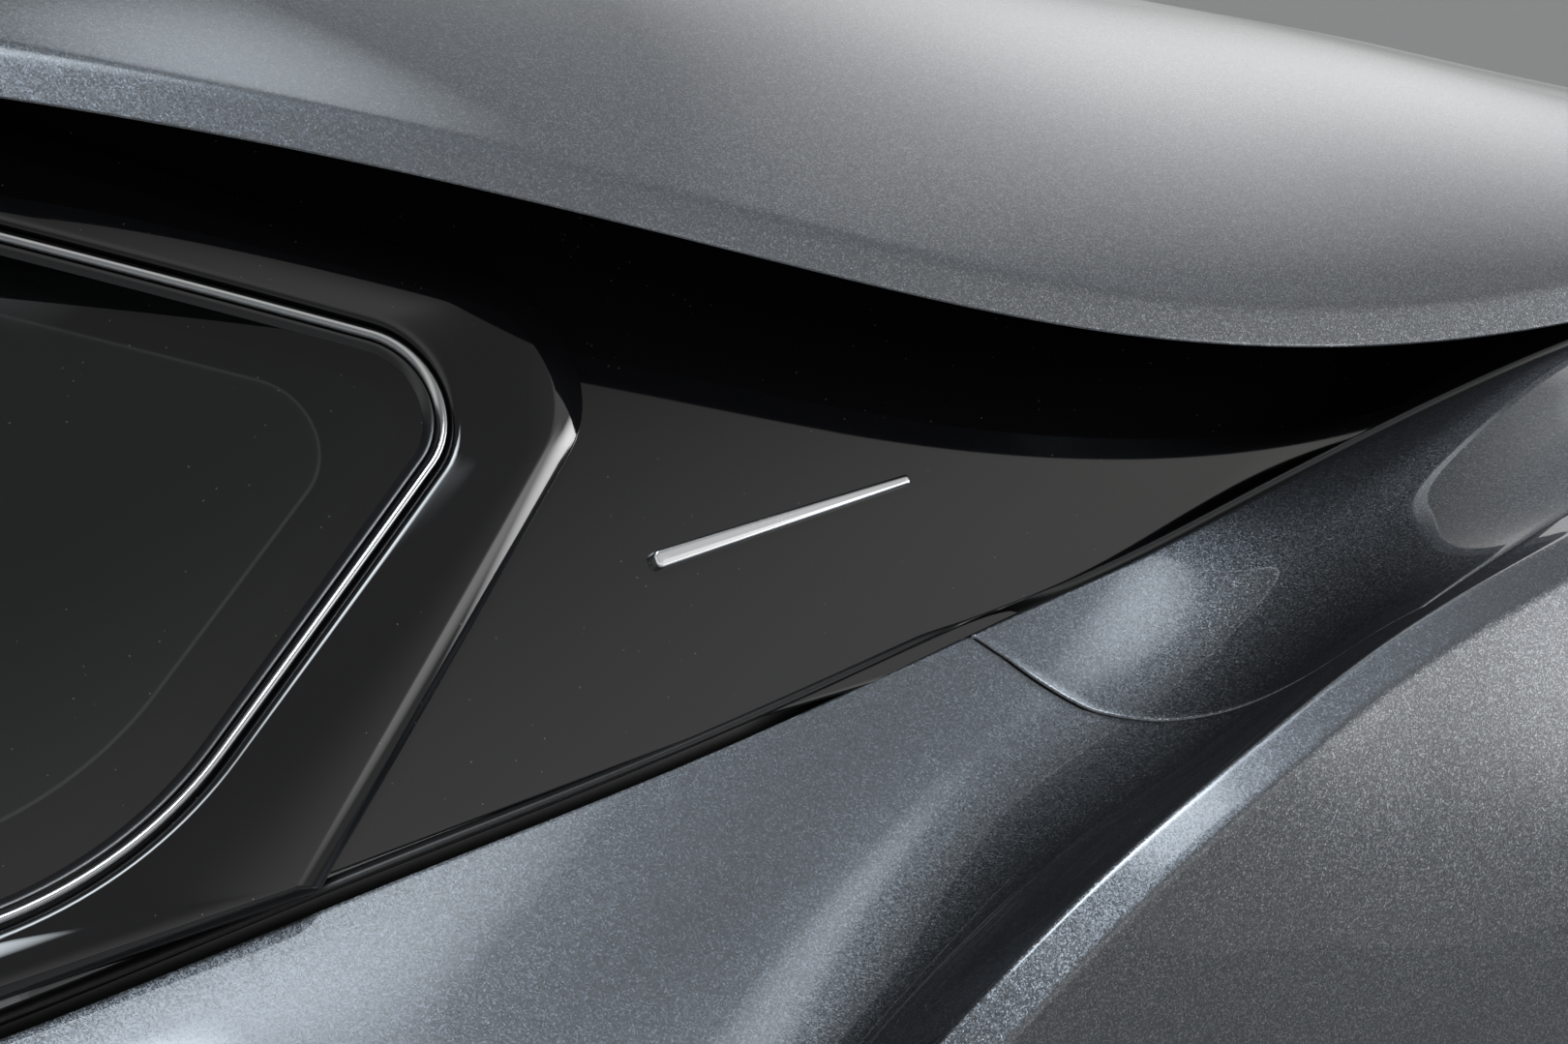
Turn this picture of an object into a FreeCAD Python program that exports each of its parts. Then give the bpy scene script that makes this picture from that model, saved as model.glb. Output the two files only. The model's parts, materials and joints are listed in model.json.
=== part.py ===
import FreeCAD, Part
import math
import os

# Left rear quarter section of a coupe body, in millimetres.
# X runs rearward, Y inboard, Z up. The outboard side faces -Y.
# The origin is the centre of the four body bolts on the inboard face of the wheelhouse plate,
# straight above the wheel centre.

V = FreeCAD.Vector

# Ends of the section
FRONT_X = -640.0
REAR_X = 540.0
SILL_Z = -590.0
REAR_LEG_Z = -320.0
ROOF_EDGE_Y = 150.0

# Sheet thicknesses
SKIN = 2.5
ROOF_SKIN = 3.0
LINER = 2.5
PLATE = 4.0
SHEET = 3.0
RAIL_WALL = 2.5
FIT = 0.3

# Wheel arch
WHEEL_Z = -450.0
ARCH_R = 355.0
ARCH_LIP_Y = -288.0
SILL_TUCK = 15.0
ARCH_LOW_Z = -335.0

# Body bolts on the wheelhouse plate
BOLT_SPACING_X = 280.0
BOLT_SPACING_Z = 70.0
BOLT_HOLE_R = 5.5

# Side glass surface: a barrel with one radius up the side and a longer one along it
GLASS_ORIGIN = V(-90.0, -114.0, 200.0)
PLAN_TAPER = 12.0
LEAN = 32.0
BARREL_R_UP = 1600.0
BARREL_R_ALONG = 4500.0

# Depths measured outwards from the side glass surface
PANEL_THICK = 3.0
CARRIER_THICK = 6.0
FRAME_HEIGHT = 12.0
FRAME_EDGE_R = 4.0
GLASS_BACK = -1.0
GLASS_THICK = 4.0
GLASS_FIT = 1.0
SEAL_HEIGHT = 2.5
SEAL_WIDTH = 4.5
BEAD_HEIGHT = 7.0
BEAD_WIDTH = 3.5
BOND_EDGE = 3.0
BOND_WIDTH = 9.0
CARRIER_MARGIN = 14.0
BELT_SEAL_THICK = 6.0

# Accent bar on the pillar panel
BAR_LENGTH = 124.0
BAR_HEIGHT = 7.0
BAR_RISE = 3.0
BAR_THICK = 3.5
BAR_SLOPE = 2.0

# Belt line and shoulder
BELT_FLANGE = 14.0
BELT_TUCK = 4.0
SEAM_GAP = 3.5
CREST_MARGIN = 14.0

# Buttress edge
EDGE_RETURN = 12.0
CREASE_IN = 10.0
CREASE_UP = 15.0
CROWN = 16.0
ROOF_FLANGE = 18.0
LINER_LAP = 2.0
LINER_BOW = 9.0
EDGE_RISE = 2.0

# Rails and pillars
BELT_RAIL_WIDE = 44.0
BELT_RAIL_TALL = 56.0
BELT_RAIL_OUT = 14.0
BELT_RAIL_DROP = 22.0
CHANNEL_DROP = 16.0
ROOF_RAIL_WIDE = 46.0
ROOF_RAIL_TALL = 40.0
PILLAR_LONG = 70.0
PILLAR_DEEP = 58.0
PILLAR_BEHIND = 14.0
BRACE_HALF = 45.0
BRACE_DEEP = 42.0
SHELF_FOLD_OUT = 6.0
SILL_TOP_Z = -490.0
SILL_BACK_X = -372.0
SILL_IN_Y = -150.0
SHELF_Z = 60.0
PLATE_HALF = 400.0
PLATE_LOW_Z = -400.0
AXLE_GAP_HALF = 110.0
AXLE_GAP_TOP_Z = -250.0
POST_THICK = 4.0
POST_X = REAR_X - POST_THICK
BULKHEAD_HOLE_R = 48.0
BULKHEAD_HOLE_Y = -150.0

# Shoulder and flank, one row a station along X, evenly spaced. The dip angles say how steeply
# the surface falls outboard, in degrees, so a negative dip climbs. The crest strip starts at the
# crest edge and goes out and down by strip_out and strip_down.
SHOULDER = [
    # x, belt_y, belt_z, belt_dip, valley_y, valley_z, valley_dip,
    # crest_y, crest_z, crest_dip, strip_out, strip_down, flank_y, flank_z
    (-640, -248, 105, 20, -287, 60, 62, -298, -5, 82, 1, 14, -301, -110),
    (-522, -235, 110, 18, -284, 60, 56, -303, -10, 80, 2, 15, -307, -110),
    (-404, -217, 117, 16, -279, 62, 50, -308, -14, 76, 3, 16, -313, -110),
    (-286, -193.5, 127, 15, -272, 66, 42, -313, -8, 66, 4, 17, -319, -105),
    (-168, -168, 135.5, 14, -262, 68, 24, -306, 60, 8, 9, 16, -319, -90),
    (-50, -138.5, 146.5, 24, -226, 103, 2, -282.5, 126, -32, 11, 12.5, -318, -70),
    (68, -119, 164.5, 34, -196, 130, 0, -258, 168, -33, 11, 10.5, -315, -60),
    (186, -107.8, 193, 40, -172, 155, 0, -232.5, 188.5, -33, 11, 9.5, -308, -55),
    (304, -97, 216, 38, -150, 178, 0, -207, 205, -28, 11, 9.5, -300, -50),
    (422, -66, 218, 30, -125, 192, 0, -177, 216, -22, 11, 9.5, -289, -50),
    (540, -26, 219, 20, -88, 204, 0, -145, 221, -18, 11, 9, -275, -50),
]

# Buttress, one row a station along X: its lower outer edge and the height of its roof edge
BUTTRESS = [
    # x, edge_y, edge_z, roof_z
    (-640, -106, 424, 508),
    (-472, -117, 402, 487),
    (-304, -122.5, 365, 460),
    (-136, -122.5, 313, 428),
    (32, -124, 260.5, 391),
    (204, -111, 230.5, 344),
    (372, -80, 223, 306),
    (540, -26, 223, 259),
]

# Line between the shoulder skin and the separate channel panel, seen from above
SEAM = [
    # x, y
    (-27, -128),
    (-12, -142),
    (8, -168),
    (28, -185),
    (50, -200),
    (80, -219),
    (112, -236),
]

# Outlines on the side glass surface: along it, up it, corner radius
FRAME_OUTLINE = [
    # along, up, radius
    (-562, -83, 6),
    (-228, -78, 4),
    (-34, 82.6, 43),
    (-318, 240, 320),
    (-520, 269, 6),
]
BEAD_OUTLINE = [
    # along, up, radius
    (-512, -64, 40),
    (-285, -58, 170),
    (-93, 78, 32),
    (-310, 188, 300),
    (-474, 212, 30),
]
PANEL_OUTLINE = [
    # along, up, radius
    (-562, -84, 4),
    (-213, -72, 0),
    (-66, -65, 0),
    (60, -66, 60),
    (200, -80, 0),
    (470, -80, 6),
    (470, 60, 6),
    (0, 240, 0),
    (-500, 345, 6),
]
CARRIER_HOLES = [
    # along, up, half length, half height, lean
    (-5, 70, 52, 34, -18),
    (145, 30, 52, 34, -12),
    (290, -4, 48, 22, -8),
]
CARRIER_HOLE_R = 16.0
BELT_SEAL_OUTLINE = [
    # along, up, radius
    (-558, -89, 0),
    (-337, -89, 0),
    (-213, -80, 0),
    (-30, -69, 0),
    (80, -66, 0),
    (80, -62, 0),
    (-66, -62, 0),
    (-213, -69, 0),
    (-558, -76, 0),
]

# Brace from the wheelhouse to the roof rail: height above the shelf, and its two faces in Y
BRACE = [
    # above, outer_y, inner_y
    (0, -PLATE - BRACE_DEEP, -PLATE),
    (80, -36, 8),
    (200, 40, 88),
    (290, ROOF_EDGE_Y - ROOF_SKIN - ROOF_RAIL_WIDE, ROOF_EDGE_Y - ROOF_SKIN),
]

# Closing plate at the rear and the opening in it for the tail lamp, seen along the car
POST_OUTLINE = [
    # y, z, radius
    (-340, REAR_LEG_Z, 0),
    (-70, REAR_LEG_Z, 30),
    (-30, -60, 60),
    (40, 110, 60),
    (ROOF_EDGE_Y - ROOF_SKIN, 170, 20),
    (ROOF_EDGE_Y - ROOF_SKIN, 300, 0),
    (-340, 300, 0),
]
LAMP_OPENING = [
    # y, z, radius
    (-225, 20, 22),
    (-120, 20, 22),
    (-95, 130, 22),
    (-190, 130, 22),
]
BULKHEAD_HOLE_Z = (-380.0, -220.0, -60.0)


# Small helpers in a flat section, where a point is (y, z)
def dip_direction(dip):
    angle = math.radians(dip)
    return (-math.cos(angle), -math.sin(angle))


def arc_middle(start, direction, end):
    """Middle of the arc that leaves start along direction and reaches end."""
    cy, cz = end[0] - start[0], end[1] - start[1]
    turn = math.atan2(direction[0] * cz - direction[1] * cy, direction[0] * cy + direction[1] * cz)
    rise = math.tan(turn / 2) / 2
    return ((start[0] + end[0]) / 2 + cz * rise, (start[1] + end[1]) / 2 - cy * rise)


def two_arcs(start, start_dir, end, end_dir):
    """Two arcs that join smoothly and keep the direction at both ends, as (start, middle, end)."""
    cy, cz = end[0] - start[0], end[1] - start[1]
    sy, sz = start_dir[0] + end_dir[0], start_dir[1] + end_dir[1]
    along = cy * sy + cz * sz
    square = cy * cy + cz * cz
    bend = 2 * (1 - start_dir[0] * end_dir[0] - start_dir[1] * end_dir[1])
    if bend < 1e-6:
        reach = square / (2 * along)
    else:
        reach = (math.sqrt(along * along + bend * square) - along) / bend
    near = (start[0] + reach * start_dir[0], start[1] + reach * start_dir[1])
    far = (end[0] - reach * end_dir[0], end[1] - reach * end_dir[1])
    joint = ((near[0] + far[0]) / 2, (near[1] + far[1]) / 2)
    back = (-end_dir[0], -end_dir[1])
    return [
        (start, arc_middle(start, start_dir, joint), joint),
        (joint, arc_middle(end, back, joint), end),
    ]


def line_piece(start, end):
    return (start, None, end)


def unit(a, b):
    dy, dz = b[0] - a[0], b[1] - a[1]
    size = math.hypot(dy, dz)
    return (dy / size, dz / size)


def offset_chain(chain, depth):
    """The chain moved inwards by depth. Inwards is to the left of the way the chain runs."""
    ends = []
    for start, middle, end in chain:
        if middle is None:
            leave = arrive = unit(start, end)
        else:
            chord = unit(start, end)
            first = unit(start, middle)
            turn = 2 * math.atan2(chord[0] * first[1] - chord[1] * first[0],
                                  chord[0] * first[0] + chord[1] * first[1])
            leave = rotate(chord, turn)
            arrive = rotate(chord, -turn)
        ends.append((leave, arrive))
    moved = []
    for i, (start, middle, end) in enumerate(chain):
        before = ends[i - 1][1] if i > 0 else ends[i][0]
        after = ends[i + 1][0] if i + 1 < len(chain) else ends[i][1]
        new_start = mitre(start, before, ends[i][0], depth)
        new_end = mitre(end, ends[i][1], after, depth)
        new_middle = None
        if middle is not None:
            chord = unit(start, end)
            new_middle = (middle[0] - chord[1] * depth, middle[1] + chord[0] * depth)
        moved.append((new_start, new_middle, new_end))
    return moved


def rotate(vector, angle):
    c, s = math.cos(angle), math.sin(angle)
    return (vector[0] * c - vector[1] * s, vector[0] * s + vector[1] * c)


def mitre(point, arrive, leave, depth):
    """A corner point moved to the left of both directions by depth."""
    ny, nz = -(arrive[1] + leave[1]), arrive[0] + leave[0]
    size = math.hypot(ny, nz)
    ny, nz = ny / size, nz / size
    share = -ny * arrive[1] + nz * arrive[0]
    return (point[0] + ny * depth / share, point[1] + nz * depth / share)


def chain_edges(chain, place):
    edges = []
    for start, middle, end in chain:
        if middle is None:
            edges.append(Part.LineSegment(place(start), place(end)).toShape())
            continue
        chord = math.hypot(end[0] - start[0], end[1] - start[1])
        bow = abs((middle[0] - start[0]) * (end[1] - start[1])
                  - (middle[1] - start[1]) * (end[0] - start[0])) / chord
        if bow < 1e-4 * chord:
            edges.append(Part.LineSegment(place(start), place(end)).toShape())
        else:
            edges.append(Part.Arc(place(start), place(middle), place(end)).toShape())
    return edges


def closed_wire(x, chain, back_points):
    """A closed wire at one station: the chain, then straight lines through back_points home."""
    def place(p):
        return V(x, p[0], p[1])
    edges = chain_edges(chain, place)
    points = [chain[-1][2]] + back_points + [chain[0][0]]
    for a, b in zip(points, points[1:]):
        edges.append(Part.LineSegment(place(a), place(b)).toShape())
    return Part.Wire(edges)


def sheet_wire(x, chain, thick):
    """A closed wire round a sheet: the chain, and the same chain moved inwards by thick."""
    def place(p):
        return V(x, p[0], p[1])
    inner = offset_chain(chain, thick)
    edges = chain_edges(chain, place)
    edges.append(Part.LineSegment(place(chain[-1][2]), place(inner[-1][2])).toShape())
    for start, middle, end in reversed(inner):
        edges += chain_edges([(end, middle, start)], place)
    edges.append(Part.LineSegment(place(inner[0][0]), place(chain[0][0])).toShape())
    return Part.Wire(edges)


def box(x0, x1, y0, y1, z0, z1):
    return Part.makeBox(x1 - x0, y1 - y0, z1 - z0, V(x0, y0, z0))


def interpolate(rows, column, x):
    """Value of a column of a station table at x, along straight lines between rows."""
    for a, b in zip(rows, rows[1:]):
        if x <= b[0] or b is rows[-1]:
            share = (x - a[0]) / (b[0] - a[0])
            return a[column] + share * (b[column] - a[column])


# Side glass surface
def glass_placement():
    taper, lean = math.radians(PLAN_TAPER), math.radians(LEAN)
    along = V(math.cos(taper), math.sin(taper), 0)
    across = V(math.sin(taper), -math.cos(taper), 0)
    out = across * math.cos(lean) + V(0, 0, math.sin(lean))
    up = out.cross(along)
    return along, up, out


ALONG, UP, OUT = glass_placement()


def to_body(shape):
    """Moves a shape from the side glass frame (along, up, out) to the body frame."""
    matrix = FreeCAD.Matrix(
        ALONG.x, UP.x, OUT.x, GLASS_ORIGIN.x,
        ALONG.y, UP.y, OUT.y, GLASS_ORIGIN.y,
        ALONG.z, UP.z, OUT.z, GLASS_ORIGIN.z,
        0, 0, 0, 1,
    )
    placed = shape.copy()
    placed.Placement = FreeCAD.Placement(matrix)
    return placed


def barrel_depth(s, t):
    return -t * t / (2 * BARREL_R_UP) - s * s / (2 * BARREL_R_ALONG)


def barrel_y(x, z, out=0.0):
    """Y of the side glass surface, moved outwards by out, at a given x and z."""
    y = GLASS_ORIGIN.y
    for _ in range(40):
        q = V(x, y, z) - GLASS_ORIGIN
        error = q.dot(OUT) - out - barrel_depth(q.dot(ALONG), q.dot(UP))
        y -= error / OUT.y
    return y


def barrel_slab(low, high, span=640.0, bottom=-170.0, top=400.0):
    """A curved slab between two depths measured outwards from the side glass surface."""
    def at(depth, up):
        return V(0, up, math.sqrt((BARREL_R_UP + depth) ** 2 - up * up) - BARREL_R_UP)
    edges = [
        Part.Arc(at(low, bottom), at(low, 0), at(low, top)).toShape(),
        Part.LineSegment(at(low, top), at(high, top)).toShape(),
        Part.Arc(at(high, top), at(high, 0), at(high, bottom)).toShape(),
        Part.LineSegment(at(high, bottom), at(low, bottom)).toShape(),
    ]
    profile = Part.Face(Part.Wire(edges))
    half = math.degrees(span / BARREL_R_ALONG)
    axis_point = V(0, 0, -BARREL_R_ALONG)
    profile.rotate(axis_point, V(0, 1, 0), -half)
    return profile.revolve(axis_point, V(0, 1, 0), 2 * half)


def rounded_wire(corners, grow=0.0):
    """A closed wire of lines and arcs through corners (along, up, radius), grown outwards."""
    points = grown(corners, grow)
    edges = []
    stops = []
    count = len(points)
    for i, (px, py, radius) in enumerate(points):
        ax, ay, _ = points[i - 1]
        bx, by, _ = points[(i + 1) % count]
        to_a = unit((px, py), (ax, ay))
        to_b = unit((px, py), (bx, by))
        cosine = to_a[0] * to_b[0] + to_a[1] * to_b[1]
        half = math.acos(max(-1.0, min(1.0, cosine))) / 2
        if radius <= 0 or abs(half - math.pi / 2) < 1e-4:
            stops.append(((px, py), None, (px, py)))
            continue
        reach = radius / math.tan(half)
        first = (px + to_a[0] * reach, py + to_a[1] * reach)
        last = (px + to_b[0] * reach, py + to_b[1] * reach)
        way = unit((0, 0), (to_a[0] + to_b[0], to_a[1] + to_b[1]))
        depth = radius / math.sin(half) - radius
        stops.append((first, (px + way[0] * depth, py + way[1] * depth), last))
    for i, (first, middle, last) in enumerate(stops):
        if middle is not None:
            edges.append(Part.Arc(V(*first, 0), V(*middle, 0), V(*last, 0)).toShape())
        after = stops[(i + 1) % count][0]
        edges.append(Part.LineSegment(V(*last, 0), V(*after, 0)).toShape())
    return Part.Wire(edges)


def grown(corners, grow):
    """Corners of the polygon moved outwards by grow, with their radii grown as well."""
    if grow == 0:
        return corners
    area = 0.0
    for i, (px, py, _) in enumerate(corners):
        nx, ny, _ = corners[(i + 1) % len(corners)]
        area += px * ny - nx * py
    side = -grow if area > 0 else grow
    moved = []
    for i, (px, py, radius) in enumerate(corners):
        ax, ay, _ = corners[i - 1]
        bx, by, _ = corners[(i + 1) % len(corners)]
        new = mitre((px, py), unit((ax, ay), (px, py)), unit((px, py), (bx, by)), side)
        moved.append((new[0], new[1], max(radius + grow, 1.0) if radius > 0 else 0))
    return moved


def outline_prism(corners, grow=0.0, low=-150.0, high=150.0):
    face = Part.Face(rounded_wire(corners, grow))
    face.translate(V(0, 0, low))
    return face.extrude(V(0, 0, high - low))


# Sections of the shoulder, the flank and the buttress
def shoulder_chain(row):
    (x, belt_y, belt_z, belt_dip, valley_y, valley_z, valley_dip,
     crest_y, crest_z, crest_dip, strip_out, strip_down, flank_y, flank_z) = row
    belt = (belt_y, belt_z)
    valley = (valley_y, valley_z)
    crest = (crest_y, crest_z)
    strip = (crest_y - strip_out, crest_z - strip_down)
    flank = (flank_y, flank_z)
    sill = (flank_y + SILL_TUCK, SILL_Z)
    tuck = (belt_y + BELT_TUCK, belt_z - BELT_FLANGE)
    straight_up = (0.0, 1.0)
    straight_down = (0.0, -1.0)
    chain = [line_piece(tuck, belt)]
    chain += two_arcs(belt, dip_direction(belt_dip), valley, dip_direction(valley_dip))
    chain += two_arcs(valley, dip_direction(valley_dip), crest, dip_direction(crest_dip))
    chain.append(line_piece(crest, strip))
    chain.append((strip, arc_middle(flank, straight_up, strip), flank))
    chain.append((flank, arc_middle(flank, straight_down, sill), sill))
    return chain


def buttress_chain(row):
    x, edge_y, edge_z, roof_z = row
    back = (edge_y + EDGE_RETURN, edge_z + EDGE_RISE)
    edge = (edge_y, edge_z)
    crease = (edge_y + CREASE_IN, edge_z + CREASE_UP)
    roof = (ROOF_EDGE_Y, roof_z)
    flange = (ROOF_EDGE_Y, roof_z - ROOF_FLANGE)
    chord = unit(crease, roof)
    middle = ((crease[0] + roof[0]) / 2 - chord[1] * CROWN,
              (crease[1] + roof[1]) / 2 + chord[0] * CROWN)
    return [
        line_piece(back, edge),
        line_piece(edge, crease),
        (crease, middle, roof),
        line_piece(roof, flange),
    ]


def liner_points(row):
    x, edge_y, edge_z, roof_z = row
    outer = (edge_y + EDGE_RETURN - LINER_LAP, edge_z + ROOF_SKIN + EDGE_RISE + FIT)
    inner = (ROOF_EDGE_Y - ROOF_SKIN, roof_z - ROOF_FLANGE - LINER - FIT)
    chord = unit(outer, inner)
    middle = ((outer[0] + inner[0]) / 2 - chord[1] * LINER_BOW,
              (outer[1] + inner[1]) / 2 + chord[0] * LINER_BOW)
    return outer, middle, inner


def liner_z(x, y):
    """Height of the underside of the buttress at x and y."""
    row = [x] + [interpolate(BUTTRESS, column, x) for column in (1, 2, 3)]
    outer, _, inner = liner_points(row)
    share = (y - outer[0]) / (inner[0] - outer[0])
    straight = outer[1] + share * (inner[1] - outer[1])
    return straight + 4 * LINER_BOW * share * (1 - share)


def loft(wires):
    return Part.makeLoft(wires, True, False, False)


def shoulder_envelope(depth):
    """Everything inboard of the shoulder and flank, its face moved inwards by depth."""
    wires = []
    for row in SHOULDER:
        chain = offset_chain(shoulder_chain(row), depth)[1:]
        top = chain[0][0][1]
        wires.append(closed_wire(row[0], chain, [(60.0, chain[-1][2][1]), (60.0, top)]))
    return loft(wires)


def liner_envelope():
    """Everything above the underside of the buttress."""
    wires = []
    for row in BUTTRESS:
        outer, middle, inner = liner_points(row)
        high = 600.0
        chain = [(outer, middle, inner)]
        wires.append(closed_wire(row[0], chain, [(inner[0], high), (outer[0], high)]))
    return loft(wires)


def arch_cylinder(radius, y0=-400.0, y1=100.0):
    return Part.makeCylinder(radius, y1 - y0, V(0, y0, WHEEL_Z), V(0, 1, 0))


def arch_ring(r0, r1, y0, y1):
    return arch_cylinder(r1, y0, y1).cut(arch_cylinder(r0, y0 - 1, y1 + 1))


def channel_prism(grow):
    """Plan outline of the channel panel as an upright prism. grow moves its seam forward."""
    points = [(x - grow, y - grow * 0.5) for x, y in SEAM]
    for row in SHOULDER:
        if row[0] > SEAM[-1][0]:
            points.append((row[0] + (20.0 if row is SHOULDER[-1] else 0.0),
                           row[7] + CREST_MARGIN - grow))
    points.append((REAR_X + 20.0, 80.0))
    points.append((SEAM[0][0] - grow, 80.0))
    wire = Part.makePolygon([V(x, y, -100.0) for x, y in points + [points[0]]])
    return Part.Face(wire).extrude(V(0, 0, 500.0))


def belt_at(x):
    return interpolate(SHOULDER, 1, x), interpolate(SHOULDER, 2, x)


def rectangle(a0, a1, b0, b1):
    return [(a0, b0), (a1, b0), (a1, b1), (a0, b1)]


def tube(sections, wall, upright=False):
    """Outer and inner solids of an open-ended tube through (position, corners) sections."""
    shapes = []
    for depth in (0.0, wall):
        wires = []
        for at, corners in sections:
            ring = grown([(a, b, 0) for a, b in corners], -depth)
            if upright:
                points = [V(a, b, at) for a, b, _ in ring]
            else:
                points = [V(at, a, b) for a, b, _ in ring]
            wires.append(Part.makePolygon(points + [points[0]]))
        shapes.append(loft(wires))
    return shapes[0], shapes[1]


def thin_strip(sections, thick):
    """A thin sheet through (x, [points]) sections, its thickness on the right of each chain."""
    wires = []
    for x, points in sections:
        chain = [line_piece(a, b) for a, b in zip(points, points[1:])]
        wires.append(sheet_wire(x, chain, -thick))
    return loft(wires)


# The pieces
def make_shoulder_pieces(middle):
    skin = loft([sheet_wire(row[0], shoulder_chain(row), SKIN) for row in SHOULDER])
    channel = skin.common(channel_prism(0.0))
    rear_leg = box(0.0, REAR_X + 50.0, -500.0, 100.0, SILL_Z - 50.0, REAR_LEG_Z)
    lip = arch_ring(ARCH_R - SKIN, ARCH_R + SKIN, -400.0, ARCH_LIP_Y).common(middle)
    fender = skin.cut(channel_prism(SEAM_GAP)).fuse(lip).cut(arch_cylinder(ARCH_R)).cut(rear_leg)
    return fender, channel


def make_buttress():
    return loft([sheet_wire(row[0], buttress_chain(row), -ROOF_SKIN) for row in BUTTRESS])


def make_liner():
    wires = []
    for row in BUTTRESS:
        outer, middle, inner = liner_points(row)
        wires.append(sheet_wire(row[0], [(outer, middle, inner)], LINER))
    return loft(wires)


def on_glass(low, high, outline, grow=0.0):
    """A plate on the side glass surface, in the glass frame."""
    return barrel_slab(low, high).common(outline_prism(outline, grow))


def ring_on_glass(low, high, outline, grow, width):
    plate = on_glass(low, high, outline, grow)
    return plate.cut(outline_prism(outline, grow - width))


def make_window():
    pieces = {}
    glass_front = GLASS_BACK + GLASS_THICK
    frame = on_glass(0.0, FRAME_HEIGHT, FRAME_OUTLINE)
    front = max((face for face in frame.Faces if isinstance(face.Surface, Part.Toroid)),
                key=lambda face: face.CenterOfMass.z)
    frame = frame.makeFillet(FRAME_EDGE_R, front.OuterWire.Edges)
    pieces["window_frame"] = frame.cut(outline_prism(BEAD_OUTLINE))
    pieces["frame_bead"] = ring_on_glass(glass_front, glass_front + BEAD_HEIGHT, BEAD_OUTLINE,
                                         0.0, BEAD_WIDTH)
    pieces["window_seal"] = ring_on_glass(glass_front, glass_front + SEAL_HEIGHT, BEAD_OUTLINE,
                                          -BEAD_WIDTH, SEAL_WIDTH)
    pieces["quarter_glass"] = on_glass(GLASS_BACK, glass_front, BEAD_OUTLINE, -GLASS_FIT)
    pieces["glass_bond"] = ring_on_glass(-PANEL_THICK, GLASS_BACK, BEAD_OUTLINE,
                                         -GLASS_FIT - BOND_EDGE, BOND_WIDTH)
    return pieces


def bar_outline():
    slope = math.tan(math.radians(BAR_SLOPE))
    half = BAR_LENGTH / 2
    return [
        (-half, -half * slope - BAR_HEIGHT / 2, 2.5),
        (half, half * slope - BAR_HEIGHT / 2 + BAR_RISE, 1.2),
        (half, half * slope + BAR_HEIGHT / 2, 1.2),
        (-half, -half * slope + BAR_HEIGHT / 2, 2.5),
    ]


def lean_hole(row):
    s, t, half_long, half_tall, lean = row
    corners = []
    for along, up in ((-1, -1), (1, -1), (1, 1), (-1, 1)):
        a, b = rotate((along * half_long, up * half_tall), math.radians(lean))
        corners.append((s + a, t + b, CARRIER_HOLE_R))
    return corners


def make_pillar_trim(fender, channel, above_liner, below_rail):
    panel = on_glass(-PANEL_THICK, 0.0, PANEL_OUTLINE)
    panel = to_body(panel.cut(outline_prism(BEAD_OUTLINE))).cut(above_liner).cut(below_rail)
    seal = to_body(on_glass(-PANEL_THICK - BELT_SEAL_THICK, -PANEL_THICK, BELT_SEAL_OUTLINE))
    seal = seal.cut(fender).cut(channel)
    carrier = on_glass(-PANEL_THICK - CARRIER_THICK, -PANEL_THICK, PANEL_OUTLINE)
    carrier = carrier.cut(outline_prism(BEAD_OUTLINE, -CARRIER_MARGIN))
    for row in CARRIER_HOLES:
        carrier = carrier.cut(outline_prism(lean_hole(row)))
    carrier = carrier.cut(outline_prism(BELT_SEAL_OUTLINE))
    carrier = to_body(carrier).cut(above_liner).cut(below_rail)
    bar = to_body(on_glass(0.0, BAR_THICK, bar_outline()))
    return panel, seal, carrier, bar


def rail_box(x):
    """Low and high of the belt rail in Y and Z at a station."""
    top = belt_at(x)[1] - BELT_RAIL_DROP - max(0.0, min(1.0, (x + 100.0) / 200.0)) * CHANNEL_DROP
    outer = barrel_y(x, top, -PANEL_THICK) - BELT_RAIL_OUT
    return outer, outer + BELT_RAIL_WIDE, top - BELT_RAIL_TALL, top


def make_belt_rail():
    """Outer and inner solids of the belt rail, and the space that it and all below it fill."""
    stations = (FRONT_X, -404.0, -168.0, -50.0, 68.0, 186.0, 304.0, 422.0, POST_X)
    outer, inner = tube([(x, rectangle(*rail_box(x))) for x in stations], RAIL_WALL)
    deep = []
    for x in stations:
        y0, y1, z0, z1 = rail_box(x)
        deep.append((x, rectangle(y0 - 100.0, y1, z0 - 100.0, z1)))
    return outer, inner, tube(deep, RAIL_WALL)[0]


def make_roof_rail(above_liner):
    sections = []
    inner_y = ROOF_EDGE_Y - ROOF_SKIN
    outer_y = inner_y - ROOF_RAIL_WIDE
    for x in (FRONT_X, -472.0, -304.0, -136.0, 32.0, 204.0, 372.0, POST_X):
        low, high = liner_z(x, outer_y), liner_z(x, inner_y)
        tall = min(ROOF_RAIL_TALL, (high - 200.0) * 0.5)
        sections.append((x, [(outer_y, low - tall), (inner_y, high - tall), (inner_y, high),
                             (outer_y, low)]))
    outer, inner = tube(sections, RAIL_WALL)
    return outer.cut(inner).cut(above_liner), outer


def make_pillar(above_liner):
    x0, x1 = FRONT_X, FRONT_X + PILLAR_LONG
    low_y = SHOULDER[0][12] + 20.0
    out = -PANEL_THICK - CARRIER_THICK
    sections = []
    for z in (SILL_TOP_Z, -60.0, 110.0, 280.0, 470.0):
        y = low_y if z < 0 else barrel_y(x0, min(z, 430.0), out) + PILLAR_BEHIND
        sections.append((z, rectangle(x0, x1, y, y + PILLAR_DEEP)))
    outer, inner = tube(sections, RAIL_WALL, upright=True)
    return outer.cut(inner).cut(above_liner)


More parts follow.
